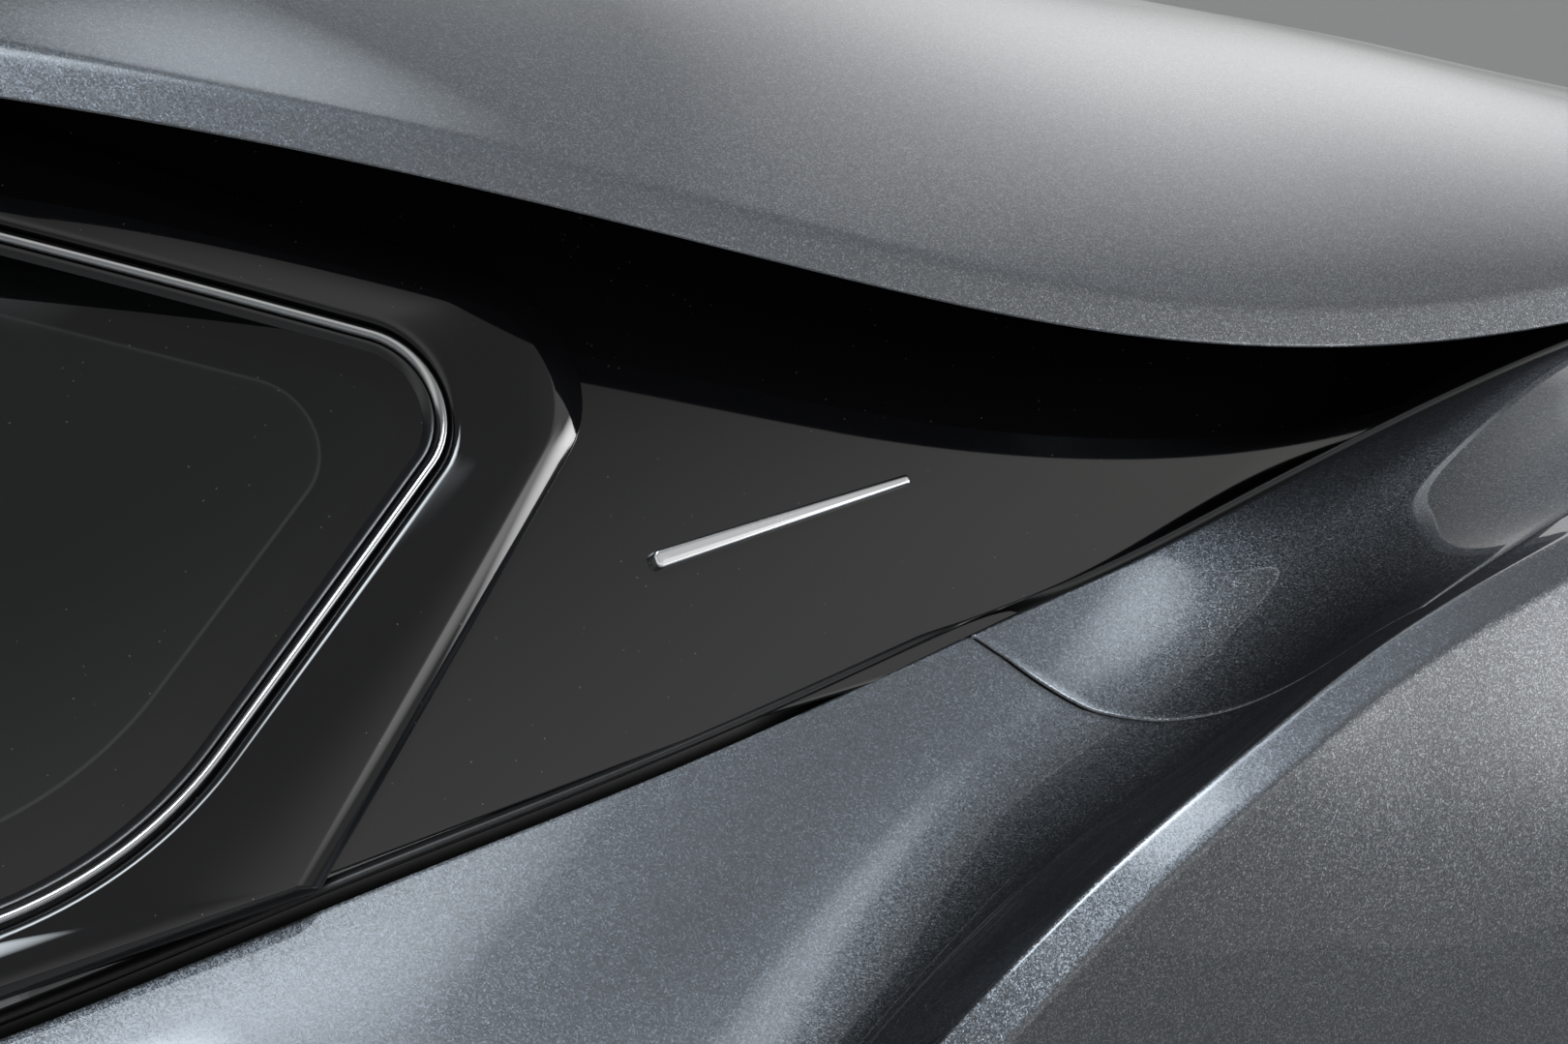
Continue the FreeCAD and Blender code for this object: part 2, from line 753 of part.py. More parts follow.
def make_brace(roof_rail, above_liner):
    sections = []
    for above, outer_y, inner_y in BRACE:
        sections.append((SHELF_Z + above, rectangle(-BRACE_HALF, BRACE_HALF, outer_y, inner_y)))
    outer, inner = tube(sections, RAIL_WALL, upright=True)
    return outer.cut(inner).cut(roof_rail).cut(above_liner)


def make_channel_floor():
    sections = []
    for x in (80.0, 180.0, 280.0, 380.0, 470.0):
        y, z = belt_at(x)
        inner_z = z - BELT_FLANGE - CHANNEL_DROP
        sections.append((x, [(y + BELT_TUCK, z - BELT_FLANGE), (barrel_y(x, inner_z), inner_z)]))
    return thin_strip(sections, LINER)


def make_shelf():
    sections = []
    for x in (SILL_BACK_X, -168.0, -50.0, 68.0, 186.0, 304.0, PLATE_HALF):
        outer, inner, low, _ = rail_box(x)
        fold = (-PLATE - BRACE_DEEP - SHELF_FOLD_OUT, SHELF_Z)
        sections.append((x, [(inner - 8.0, low - FIT), fold, (-PLATE, SHELF_Z)]))
    return thin_strip(sections, SHEET)


def make_wheelhouse_plate():
    front = SILL_BACK_X - SHEET
    outline = [
        (front, SILL_Z, 0),
        (-ARCH_R + 40.0, SILL_Z, 20),
        (-ARCH_R + 80.0, PLATE_LOW_Z, 40),
        (-AXLE_GAP_HALF, PLATE_LOW_Z, 20),
        (-AXLE_GAP_HALF, AXLE_GAP_TOP_Z, 60),
        (AXLE_GAP_HALF, AXLE_GAP_TOP_Z, 60),
        (AXLE_GAP_HALF, PLATE_LOW_Z, 20),
        (PLATE_HALF, ARCH_LOW_Z, 20),
        (PLATE_HALF, SHELF_Z, 0),
        (front, SHELF_Z, 0),
    ]
    face = Part.Face(rounded_wire(outline))
    plate = face.extrude(V(0, 0, PLATE))
    plate.rotate(V(0, 0, 0), V(1, 0, 0), 90.0)
    for sx in (-0.5, 0.5):
        for sz in (-0.5, 0.5):
            hole = Part.makeCylinder(BOLT_HOLE_R, 3 * PLATE,
                                     V(sx * BOLT_SPACING_X, -2 * PLATE, sz * BOLT_SPACING_Z),
                                     V(0, 1, 0))
            plate = plate.cut(hole)
    return plate


def make_arch_liner():
    ring = arch_ring(ARCH_R, ARCH_R + SHEET, ARCH_LIP_Y, -PLATE)
    ring = ring.cut(box(-500.0, 0.0, -400.0, 50.0, -900.0, SILL_Z))
    return ring.cut(box(0.0, 500.0, -400.0, 50.0, -900.0, ARCH_LOW_Z))


def make_bulkhead(inside, belt_rail_outer):
    plate = box(SILL_BACK_X - SHEET, SILL_BACK_X, -400.0, -PLATE, SILL_Z, SHELF_Z)
    plate = plate.common(inside).cut(belt_rail_outer)
    for z in BULKHEAD_HOLE_Z:
        foot = V(SILL_BACK_X - 2 * SHEET, BULKHEAD_HOLE_Y, z)
        plate = plate.cut(Part.makeCylinder(BULKHEAD_HOLE_R, 3 * SHEET, foot, V(1, 0, 0)))
    return plate


def make_sill(inside, deeper):
    """A box section along the foot of the flank, open at the front."""
    x1 = SILL_BACK_X - SHEET
    solid = box(FRONT_X, x1, -400.0, SILL_IN_Y, SILL_Z, SILL_TOP_Z).common(inside)
    hollow = box(FRONT_X - 1.0, x1 - RAIL_WALL, -400.0, SILL_IN_Y - RAIL_WALL,
                 SILL_Z + RAIL_WALL, SILL_TOP_Z - RAIL_WALL).common(deeper)
    return solid.cut(hollow)


def upright_plate(corners, x0, x1):
    """A plate across the car between two stations, from corners (y, z, radius)."""
    face = Part.Face(rounded_wire(corners))
    plate = face.extrude(V(0, 0, x1 - x0))
    plate.rotate(V(0, 0, 0), V(1, 1, 1), 120.0)
    plate.translate(V(x0, 0, 0))
    return plate


def make_rear_post(inside, above_liner):
    plate = upright_plate(POST_OUTLINE, POST_X, REAR_X)
    liner_edge = liner_points(BUTTRESS[-1])[0][0]
    high = box(POST_X - 1.0, REAR_X + 1.0, liner_edge + 0.5, 200.0, 100.0, 400.0)
    post = plate.common(inside).fuse(plate.common(high.cut(above_liner)))
    return post.cut(upright_plate(LAMP_OPENING, POST_X - 5.0, REAR_X + 5.0))


def build():
    nodes = {}
    middle = shoulder_envelope(SKIN / 2)
    inside = shoulder_envelope(SKIN)
    above_liner = liner_envelope()
    nodes["fender_skin"], nodes["rear_channel_panel"] = make_shoulder_pieces(middle)
    nodes["buttress_skin"] = make_buttress()
    nodes["buttress_liner"] = make_liner()
    belt_outer, belt_inner, below_rail = make_belt_rail()
    panel, seal, carrier, bar = make_pillar_trim(nodes["fender_skin"], nodes["rear_channel_panel"],
                                                 above_liner, below_rail)
    nodes["c_pillar_panel"] = panel
    nodes["belt_seal"] = seal
    nodes["c_pillar_carrier"] = carrier
    nodes["accent_bar"] = bar
    for name, shape in make_window().items():
        nodes[name] = to_body(shape)
    nodes["belt_rail"] = belt_outer.cut(belt_inner)
    nodes["roof_rail"], roof_outer = make_roof_rail(above_liner)
    nodes["b_pillar"] = make_pillar(above_liner)
    nodes["c_pillar_brace"] = make_brace(roof_outer, above_liner)
    nodes["channel_floor"] = make_channel_floor()
    nodes["shelf_panel"] = make_shelf()
    nodes["wheelhouse_plate"] = make_wheelhouse_plate()
    nodes["arch_liner"] = make_arch_liner()
    nodes["front_bulkhead"] = make_bulkhead(inside, belt_outer)
    nodes["sill_section"] = make_sill(inside, shoulder_envelope(SKIN + RAIL_WALL))
    nodes["rear_post"] = make_rear_post(inside, above_liner)
    return nodes


os.makedirs("parts", exist_ok=True)
for name, shape in build().items():
    print(name, len(shape.Solids), "valid", shape.isValid(), round(shape.Volume / 1000, 1), "cm3")
    shape.exportStep("parts/" + name + ".step")
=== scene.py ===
# %% [markdown]
# # Left rear quarter of a coupe body
# This lesson dresses one corner of a coupe: the flying roof buttress, the gloss black pillar panel
# under it, the fixed side window, and the shoulder that climbs to a sharp crest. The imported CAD
# model comes in first and stays fixed. Every new piece is put straight into its frame, in metres,
# with X towards the rear, Y towards the middle of the car and Z up.

# %% Load the fixed frame
import json
import math

import bmesh
import bpy
import numpy as np
from mathutils import Euler, Matrix


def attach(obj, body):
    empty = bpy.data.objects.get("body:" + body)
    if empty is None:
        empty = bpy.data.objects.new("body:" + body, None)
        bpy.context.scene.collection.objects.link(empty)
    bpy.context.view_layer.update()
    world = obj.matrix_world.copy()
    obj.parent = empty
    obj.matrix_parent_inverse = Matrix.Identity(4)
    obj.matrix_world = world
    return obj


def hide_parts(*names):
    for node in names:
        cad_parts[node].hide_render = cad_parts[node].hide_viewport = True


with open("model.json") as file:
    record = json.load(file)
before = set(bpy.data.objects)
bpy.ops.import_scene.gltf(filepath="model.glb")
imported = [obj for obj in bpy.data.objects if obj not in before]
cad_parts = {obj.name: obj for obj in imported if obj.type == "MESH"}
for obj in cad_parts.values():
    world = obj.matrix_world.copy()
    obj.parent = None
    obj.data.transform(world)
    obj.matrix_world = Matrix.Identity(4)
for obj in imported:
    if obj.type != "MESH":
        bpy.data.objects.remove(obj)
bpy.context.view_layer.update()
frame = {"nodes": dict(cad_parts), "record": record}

# %% [markdown]
# ## Camera
# The view is a close one from ahead of the window, outside the car and above it. A long lens keeps
# the lines nearly parallel, as in a detail picture. A camera looks along its own -Z, so a tilt of
# 72 degrees from straight down looks 18 degrees below the horizon.

# %% Camera
CAMERA_PLACE = (-0.5905, -1.0553, 0.5464)
CAMERA_DOWN = 18.0
CAMERA_YAW = 28.0

camera = bpy.data.objects.new("camera", bpy.data.cameras.new("camera"))
camera.data.lens = 70.0
camera.data.sensor_width = 36.0
camera.data.clip_start = 0.05
camera.location = CAMERA_PLACE
camera.rotation_euler = (math.radians(90 - CAMERA_DOWN), 0.0, math.radians(-CAMERA_YAW))
bpy.context.scene.collection.objects.link(camera)
bpy.context.scene.camera = camera
print("camera at", CAMERA_PLACE)

# %% [markdown]
# ## Node helpers
# Rooms, lamps and finishes are all node networks. A few short functions write them: they add a node
# and feed its inputs, do arithmetic, and mix colours.


# %% Node helpers
def feed(tree, socket, value):
    """Links value to the socket if it is another socket, else sets it."""
    if isinstance(value, bpy.types.NodeSocket):
        tree.links.new(value, socket)
    else:
        socket.default_value = value


def add(tree, kind, inputs=None, **settings):
    """A node with settings, such as operation, and its inputs by name or number."""
    node = tree.nodes.new("ShaderNode" + kind)
    for key, value in settings.items():
        setattr(node, key, value)
    for key, value in (inputs or {}).items():
        feed(tree, node.inputs[key], value)
    return node


def math_node(tree, operation, *values, clamp=False):
    """The result of a Math node. Its inputs are numbers or sockets."""
    return add(tree, "Math", dict(enumerate(values)), operation=operation, use_clamp=clamp).outputs[0]


def colour_mix(tree, factor, low, high):
    """A colour between low and high by factor. Each is a colour or a socket."""
    low, high = [(*c, 1) if isinstance(c, tuple) else c for c in (low, high)]
    return add(tree, "Mix", {0: factor, 6: low, 7: high}, data_type="RGBA").outputs[2]


def colour_ramp(tree, factor, stops, interpolation="LINEAR"):
    """The colour of a Color Ramp node with stops (position, colour)."""
    ramp = add(tree, "ValToRGB", {0: factor})
    ramp.color_ramp.interpolation = interpolation
    elements = ramp.color_ramp.elements
    for number, (position, colour) in enumerate(stops):
        stop = elements[number] if number < 2 else elements.new(position)
        stop.position, stop.color = position, (*colour, 1)
    return ramp.outputs[0]


print("node helpers ready")

# %% [markdown]
# ## Studio
# Car paint is mostly reflection, so the room matters as much as the colour. The room is a pale
# tent whose wall is brightest a little above eye height and darker overhead and at the floor, with
# soft lamps above, beside, behind and across the car. Rough surfaces get a plain level of light
# from the same world, chosen by Light Path.

# %% World
scene = bpy.context.scene
scene.view_settings.view_transform = "Standard"

TENT = [
    # height of the direction, strength
    (0.0, 0.45), (0.16, 0.9), (0.42, 1.0), (0.72, 0.3),
]
world = bpy.data.worlds.new("studio_world")
scene.world = world
world.use_nodes = True
tree = world.node_tree
tree.nodes.clear()
way = add(tree, "SeparateXYZ", {0: add(tree, "TexCoord").outputs["Generated"]})
tent = colour_ramp(tree, way.outputs["Z"], [(height, [level] * 3) for height, level in TENT], "EASE")


def sky(colour, strength):
    """A Background shader of one colour. strength is a number or a socket."""
    return add(tree, "Background", {"Color": (*colour, 1), "Strength": strength}).outputs[0]


pale = sky((0.96, 0.97, 1.0), 1.0)
mirrored = sky((0.98, 0.98, 0.96), tent)
path = add(tree, "LightPath")
shown = sky((0.95, 0.97, 1.0), 0.35)
for ray, shader in (("Glossy", mirrored), ("Transmission", pale), ("Camera", pale)):
    flag = path.outputs[f"Is {ray} Ray"]
    shown = add(tree, "MixShader", {0: flag, 1: shown, 2: shader}).outputs[0]
add(tree, "OutputWorld", {0: shown})
print("world nodes:", len(tree.nodes))

# %% [markdown]
# A plain area lamp mirrors as a hard rectangle in clear coat. A real softbox is brighter in its
# middle, so each lamp's strength is a dome over its own face: (1 - a^2) * (1 - b^2), with a and b
# running from -1 to 1 across it. Its mean over the face is 4/9, so the factor 9/4 keeps the lamp's
# total power.

# %% Soft lamps
DOME_FACTOR = 9 / 4
WHITE, BLUISH = (1.0, 1.0, 1.0), (0.86, 0.94, 1.0)
LAMPS = [
    # name, place, target, (wide, tall) in metres, power, colour, roll in degrees
    ("lamp_above", (0.52, -0.48, 2.6), (-0.25, -0.2, 0.1), (1.4, 1.2), 12, BLUISH, 0),
    ("lamp_over_roof", (1.34, 1.25, 2.6), (-0.3, -0.1, 0.3), (1.0, 0.8), 3, BLUISH, 0),
    ("lamp_far_side", (3.0, 2.0, 1.95), (0.1, 0.0, 0.3), (3.0, 1.8), 13, WHITE, -25),
    ("lamp_beside", (0.15, -0.95, 2.65), (0.0, -0.28, 0.1), (1.0, 0.8), 24, BLUISH, 0),
    ("lamp_rear", (3.2, -0.65, 0.35), (-0.3, -0.2, 0.2), (1.6, 1.3), 33, WHITE, 0),
    ("lamp_edges", (2.4, -1.5, 0.7), (-0.2, -0.2, 0.2), (1.6, 1.1), 6, WHITE, 0),
]


def domed(tree):
    """Strength over a lamp's face, from its Parametric coordinates, which run from 0 to 1."""
    face = add(tree, "NewGeometry").outputs["Parametric"]
    domes = []
    for share in list(add(tree, "SeparateXYZ", {0: face}).outputs)[:2]:
        wide = math_node(tree, "MULTIPLY_ADD", share, 2.0, -1.0)
        square = math_node(tree, "MULTIPLY", wide, wide)
        domes.append(math_node(tree, "SUBTRACT", 1.0, square, clamp=True))
    return math_node(tree, "MULTIPLY", math_node(tree, "MULTIPLY", *domes), DOME_FACTOR)


for name, place, target, size, power, colour, roll in LAMPS:
    data = bpy.data.lights.new(name, "AREA")
    data.shape = "RECTANGLE"
    data.size, data.size_y = size
    data.energy, data.color, data.use_nodes = power, colour, True
    feed(data.node_tree, data.node_tree.nodes["Emission"].inputs["Strength"], domed(data.node_tree))
    lamp = bpy.data.objects.new(name, data)
    lamp.location = place
    way = np.subtract(target, place)
    tilt, yaw = math.atan2(math.hypot(way[0], way[1]), -way[2]), math.atan2(-way[0], way[1])
    facing = Euler((tilt, 0.0, yaw)).to_matrix() @ Matrix.Rotation(math.radians(roll), 3, "Z")
    lamp.rotation_euler = facing.to_euler()
    scene.collection.objects.link(lamp)
print("lamps:", len(LAMPS))

# %% [markdown]
# ## Curves in numpy
# The body is drawn as sections, flat curves across the car, one for every place along it. A few
# tables hold the sections as a designer gives them. A natural cubic spline joins the rows, so that
# highlights run without kinks from one section to the next.


# %% Spline through a table
def spline_rows(table, x):
    """Natural cubic spline through the rows of a table, at positions x.

    Between two rows with shares a and b the value is a*low + b*high plus a sixth of the squared
    gap times (a^3 - a) and (b^3 - b) of the bends, and the bends come from one linear system."""
    table = np.asarray(table, float)
    knots, values = table[:, 0], table[:, 1:]
    gap = np.diff(knots)
    inside = np.arange(1, len(knots) - 1)
    system = np.eye(len(knots))
    system[inside, inside - 1] = gap[:-1]
    system[inside, inside] = 2 * (gap[:-1] + gap[1:])
    system[inside, inside + 1] = gap[1:]
    right = np.zeros_like(values)
    right[1:-1] = 6 * np.diff(np.diff(values, axis=0) / gap[:, None], axis=0)
    bend = np.linalg.solve(system, right)
    row = np.clip(np.searchsorted(knots, x, side="right") - 1, 0, len(knots) - 2)
    b = ((x - knots[row]) / gap[row])[:, None]
    a = 1 - b
    lift = (a ** 3 - a) * bend[row] + (b ** 3 - b) * bend[row + 1]
    return a * values[row] + b * values[row + 1] + gap[row][:, None] ** 2 / 6 * lift


# Sections are worked out every SECTION_STEP millimetres along the car.
FRONT_X, REAR_X, SECTION_STEP = -640.0, 540.0, 2.0
SECTION_X = np.arange(FRONT_X, REAR_X + 1.0, SECTION_STEP)
print("sections:", len(SECTION_X))

# %% [markdown]
# ## Arcs
# Each section is a chain of arcs and lines, as on a drawing board. A pair of arcs joins two points
# and keeps the direction at both of them. All sections are worked out together: the first axis of
# every array is the place along the car.


# %% Arcs for every section at once
def line_points(start, end, count):
    """Straight line: start plus a growing share of the way to end."""
    share = np.linspace(0, 1, count)[None, :, None]
    return start[:, None] + share * (end - start)[:, None]


def arc_points(start, direction, end, count):
    """The arc that leaves start along direction and reaches end.

    With f the angle from direction to chord, the point at share t lies at the angle f*t from
    direction, at the distance chord * sin(f*t) / sin(f)."""
    chord = end - start
    size = np.linalg.norm(chord, axis=1)
    cross = direction[:, 0] * chord[:, 1] - direction[:, 1] * chord[:, 0]
    angle = np.arctan2(cross, (direction * chord).sum(1))[:, None]
    share = np.linspace(0, 1, count)[None]
    reach = size[:, None] * share * np.sinc(angle * share / np.pi) / np.sinc(angle / np.pi)
    turn = np.arctan2(direction[:, 1], direction[:, 0])[:, None] + angle * share
    return start[:, None] + reach[..., None] * np.stack([np.cos(turn), np.sin(turn)], 2)


def two_arcs(start, start_way, end, end_way, count):
    """Two arcs that meet smoothly. Both legs of the control polygon have the same length, found
    from the quadratic that makes the middle leg twice as long."""
    chord, ways = end - start, start_way + end_way
    along = (chord * ways).sum(1)
    square = (chord * chord).sum(1)
    bend = np.maximum(2 * (1 - (start_way * end_way).sum(1)), 1e-9)
    reach = ((np.sqrt(along ** 2 + bend * square) - along) / bend)[:, None]
    joint = (start + reach * start_way + end - reach * end_way) / 2
    first = arc_points(start, start_way, joint, count)
    last = arc_points(end, -end_way, joint, count)[:, ::-1]
    return np.concatenate([first, last[:, 1:]], axis=1)


def run_length(chain):
    """Distance run along each section, at each of its points."""
    steps = np.linalg.norm(np.diff(chain, axis=1), axis=2)
    return np.concatenate([np.zeros((len(chain), 1)), np.cumsum(steps, axis=1)], axis=1)


def points_at(chain, wanted):
    """Points of each section at the wanted distances along it."""
    run = run_length(chain)
    return np.stack([
        np.stack([np.interp(w, r, c[:, k]) for k in (0, 1)], 1)
        for w, r, c in zip(wanted, run, chain)
    ])


def evenly(chain, count):
    """The same sections with count points at equal distances."""
    length = run_length(chain)[:, -1:]
    return points_at(chain, length * np.linspace(0, 1, count)[None])


def eased(chain, reach):
    """Rounds the corners of sections with evenly spaced points: each point becomes the mean of
    its neighbours up to reach places away, weighted by a raised cosine. The ends are continued
    by point reflection, so they stay where they are."""
    weights = 1 + np.cos(np.pi * np.arange(-reach, reach + 1) / (reach + 1))
    weights /= weights.sum()
    before = 2 * chain[:, :1] - chain[:, reach:0:-1]
    after = 2 * chain[:, -1:] - chain[:, -2:-reach - 2:-1]
    wide = np.concatenate([before, chain, after], axis=1)
    return sum(w * wide[:, k:k + chain.shape[1]] for k, w in enumerate(weights))


def dip(degrees):
    """Unit direction outboard that falls by an angle. A negative angle climbs."""
    angle = np.radians(degrees)
    return np.stack([-np.cos(angle), -np.sin(angle)], 1)


print("arc helpers ready")

# %% [markdown]
# ## Shoulder sections
# Under the window the shoulder falls into a shallow valley, climbs to the crest, drops over a
# bright chamfer strip, and rolls into the flank. Towards the rear the crest rises to meet the
# buttress. The stations follow those of the solid, with the slopes set from the highlights.

# %% Shoulder stations
SHOULDER = [
    # x, belt_y, belt_z, belt_dip, valley_y, valley_z, valley_dip,
    # crest_y, crest_z, crest_dip, strip_out, strip_down, flank_y, flank_z
    (-640, -248, 105, 27, -287, 60, 62, -298, -5, 82, 1, 14, -305, -110),
    (-522, -235, 110, 27, -284, 60, 56, -303, -10, 80, 2, 15, -310, -110),
    (-404, -217, 117, 28, -279, 62, 50, -308, -14, 76, 3, 16, -314.5, -110),
    (-286, -193.5, 127, 31, -272, 66, 42, -313, -8, 66, 4, 17, -319, -105),
    (-168, -168, 135.5, 36, -262, 68, 24, -306, 60, 8, 11, 15, -319, -90),
    (-50, -138.5, 146.5, 41, -226, 103, 2, -282.5, 126, -32, 13.5, 11.5, -318, -70),
    (9, -127, 154.5, 43, -212, 116, 0, -272, 150, -33, 13, 10.5, -317, -65),
    (68, -119, 164.5, 34, -196, 136, -2, -258, 168, -31, 12.5, 9.5, -315, -60),
    (127, -112, 178, 12, -184, 165, -2, -245.5, 180.5, -22, 12.5, 9, -312, -58),
    (186, -107.8, 193, 3, -172, 188, 1, -232.5, 188.5, -10, 12.5, 8.5, -308, -55),
    (304, -97, 216, 4, -150, 210, 4, -207, 205, 0, 12.5, 8.5, -300, -50),
    (422, -66, 218, 3, -125, 215, 2, -177, 216, -5, 12.5, 8.5, -289, -50),
    (540, -26, 219, 3, -88, 217, 1, -145, 221, -7, 12.5, 8, -275, -50),
]
BELT_TUCK, BELT_FLANGE = 4.0, 14.0
SILL_Z, SILL_TUCK = -590.0, 15.0

stations = spline_rows(SHOULDER, SECTION_X)
(belt_y, belt_z, belt_dip, valley_y, valley_z, valley_dip, crest_y, crest_z, crest_dip,
 strip_out, strip_down, flank_y, flank_z) = stations.T


def pair(first, second):
    """Two lists of coordinates as one list of points, such as (y, z) for each section."""
    return np.stack([first, second], 1)


belt, valley, crest = pair(belt_y, belt_z), pair(valley_y, valley_z), pair(crest_y, crest_z)
tuck = pair(belt_y + BELT_TUCK, belt_z - BELT_FLANGE)
strip = pair(crest_y - strip_out, crest_z - strip_down)
flank = pair(flank_y, flank_z)
upright = np.tile([0.0, 1.0], (len(SECTION_X), 1))
print("crest height runs from", round(crest_z.min()), "to", round(crest_z.max()), "mm")

# %% [markdown]
# The soft part between belt and crest gets a wide easing, which evens out the bend where two arcs
# meet. The whole section then gets a narrow one, which rounds the belt edge and both edges of the
# strip by a few millimetres, as pressed steel is.

# %% Shoulder sections
ARC_POINTS, TUCK_POINTS, SOFT_POINTS, STRIP_POINTS, FLANK_POINTS = 40, 12, 400, 10, 60
FINE_POINTS, SOFT_REACH, FINE_REACH = 720, 36, 5
soft = np.concatenate([
    two_arcs(belt, dip(belt_dip), valley, dip(valley_dip), ARC_POINTS),
    two_arcs(valley, dip(valley_dip), crest, dip(crest_dip), ARC_POINTS)[:, 1:],
], axis=1)
soft = eased(evenly(soft, SOFT_POINTS), SOFT_REACH)
chain = np.concatenate([
    line_points(tuck, belt, TUCK_POINTS), soft[:, 1:], line_points(crest, strip, STRIP_POINTS)[:, 1:],
    arc_points(flank, upright, strip, FLANK_POINTS)[:, ::-1][:, 1:]], axis=1)
keys = np.cumsum([0] + [n - 1 for n in (TUCK_POINTS, SOFT_POINTS, STRIP_POINTS, FLANK_POINTS)])
key_run = run_length(chain)[:, keys]
shoulder_fine = eased(evenly(chain, FINE_POINTS), FINE_REACH)
TUCK, BELT, CREST, STRIP = range(4)
print("section length:", np.round(key_run[:, -1].min()), "to", np.round(key_run[:, -1].max()))

# %% [markdown]
# Points are spent where the surface bends. A stop is written as a share between two keys of the
# section, each moved by some millimetres, so the tight bends get points a millimetre apart and the
# flat parts only a few.

# %% Stops along a section
BEND = (-6, -4, -3, -2.2, -1.5, -0.8, 0, 0.8, 1.5, 2.2, 3, 4, 6)


def stops_near(key, moves=BEND):
    """Stops at a key of the section, moved along it by the given millimetres."""
    return [(key, move, key, move, 0.0) for move in moves]


def stops_between(low, low_move, high, high_move, count):
    """count stops strictly between two keys, each moved by some millimetres."""
    return [(low, low_move, high, high_move, k / (count + 1)) for k in range(1, count + 1)]


def distances(runs, stops):
    """Distance along each section of each stop: a share between two moved keys."""
    low, low_move, high, high_move, share = np.array(stops).T
    start = runs[:, low.astype(int)] + low_move
    end = runs[:, high.astype(int)] + high_move
    return start + share * (end - start)


SEAM_INSET = -15.0


def inboard_stops(last):
    """Stops from the tuck under the belt line to a place near the crest."""
    return (stops_near(TUCK, (0,)) + stops_between(TUCK, 0, BELT, -6, 2) + stops_near(BELT)
            + stops_between(BELT, 6, CREST, last, 44) + stops_near(CREST, (last,)))


inner_stops = inboard_stops(SEAM_INSET)
outer_stops = (stops_near(CREST, (SEAM_INSET, -12, -9, -7.5)) + stops_near(CREST)
               + stops_between(CREST, 6, STRIP, -6, 2) + stops_near(STRIP)
               + stops_near(STRIP, (9,)))
inner_sections = points_at(shoulder_fine, distances(key_run, inner_stops))
outer_sections = points_at(shoulder_fine, distances(key_run, outer_stops))
print("stops inboard and outboard of the seam:", len(inner_stops), len(outer_stops))


# %% Surface between sections
def surface(sections, x):
    """Points (x, y, z) of a surface of sections: between two neighbouring sections the y and z
    run straight. x has one row a place along and one column a stop."""
    place = np.clip((x - FRONT_X) / SECTION_STEP, 0, len(SECTION_X) - 1.001)
    low = place.astype(int)
    share = (place - low)[..., None]
    stop = np.broadcast_to(np.arange(sections.shape[1]), x.shape)
    flat = (1 - share) * sections[low, stop] + share * sections[low + 1, stop]
    return np.concatenate([x[..., None], flat], axis=2)


def station_value(values, x):
    """A station value at any x."""
    return np.interp(x, SECTION_X, values)


def flank_points(x, z):
    """The flank as y over x and z: an arc with a vertical tangent at flank_z.

    y = flank_y + r - sqrt(r^2 - (z - flank_z)^2), where r is (dy^2 + dz^2) / (2 dy) for the end
    of the arc, the chamfer strip above and the sill below."""
    foot_y, foot_z = station_value(flank_y, x), station_value(flank_z, x)
    up_y = station_value(strip[:, 0], x) - foot_y
    up_z = station_value(strip[:, 1], x) - foot_z
    above = z > foot_z
    dy = np.where(above, up_y, SILL_TUCK)
    dz = np.where(above, up_z, SILL_Z - foot_z)
    radius = (dy ** 2 + dz ** 2) / (2 * dy)
    y = foot_y + radius - np.sqrt(np.maximum(radius ** 2 - (z - foot_z) ** 2, 0))
    return np.stack([x, y, z], -1)


print("flank at the arch top:", np.round(flank_points(np.array(0.0), np.array(-95.0)), 1))

# %% [markdown]
# ## From arrays to meshes
# A sheet is a list of grids. Their points go into one mesh, the seams are welded, and the faces are
# turned outwards. Sheet metal then gets its thickness from Solidify, which is applied so that the
# sharp rim can be marked. Last, points are kept inside the box of the solid.


# %% Mesh helpers
MM = 0.001
WELD_REACH, SLIVER = 2e-6, 1e-7
BOX_LOW, BOX_HIGH = (-640.0, -319.4, -590.0), (540.0, 150.0, 508.0)
made = {}


def grid_faces(rows, columns, start):
    """Corner numbers of the faces of a grid whose points are numbered row by row."""
    corner = (np.arange(rows - 1)[:, None] * columns + np.arange(columns - 1)[None]).ravel()
    return start + np.stack([corner, corner + 1, corner + columns + 1, corner + columns], 1)


def mesh_from_grids(name, grids, outward, inset):
    """One welded mesh from grids of points in millimetres. Its mean face points along outward,
    or away from the mesh's middle if outward is None. inset is one number a point, kept as an
    attribute for the material."""
    points = np.concatenate([g.reshape(-1, 3) for g in grids]) * MM
    faces, start = [], 0
    for rows, columns, _ in (g.shape for g in grids):
        faces.append(grid_faces(rows, columns, start))
        start += rows * columns
    mesh = bpy.data.meshes.new(name)
    mesh.from_pydata(points, [], np.concatenate(faces))
    if inset is not None:
        mesh.attributes.new("inset", "FLOAT", "POINT").data.foreach_set("value", inset)
    work = bmesh.new()
    work.from_mesh(mesh)
    bmesh.ops.remove_doubles(work, verts=work.verts, dist=WELD_REACH)
    bmesh.ops.dissolve_degenerate(work, edges=work.edges, dist=SLIVER)
    bmesh.ops.recalc_face_normals(work, faces=work.faces)
    if outward is not None:
        toward = sum(f.normal.dot(tuple(outward)) * f.calc_area() for f in work.faces)
        if toward < 0:
            bmesh.ops.reverse_faces(work, faces=work.faces)
    work.to_mesh(mesh)
    work.free()
    return mesh


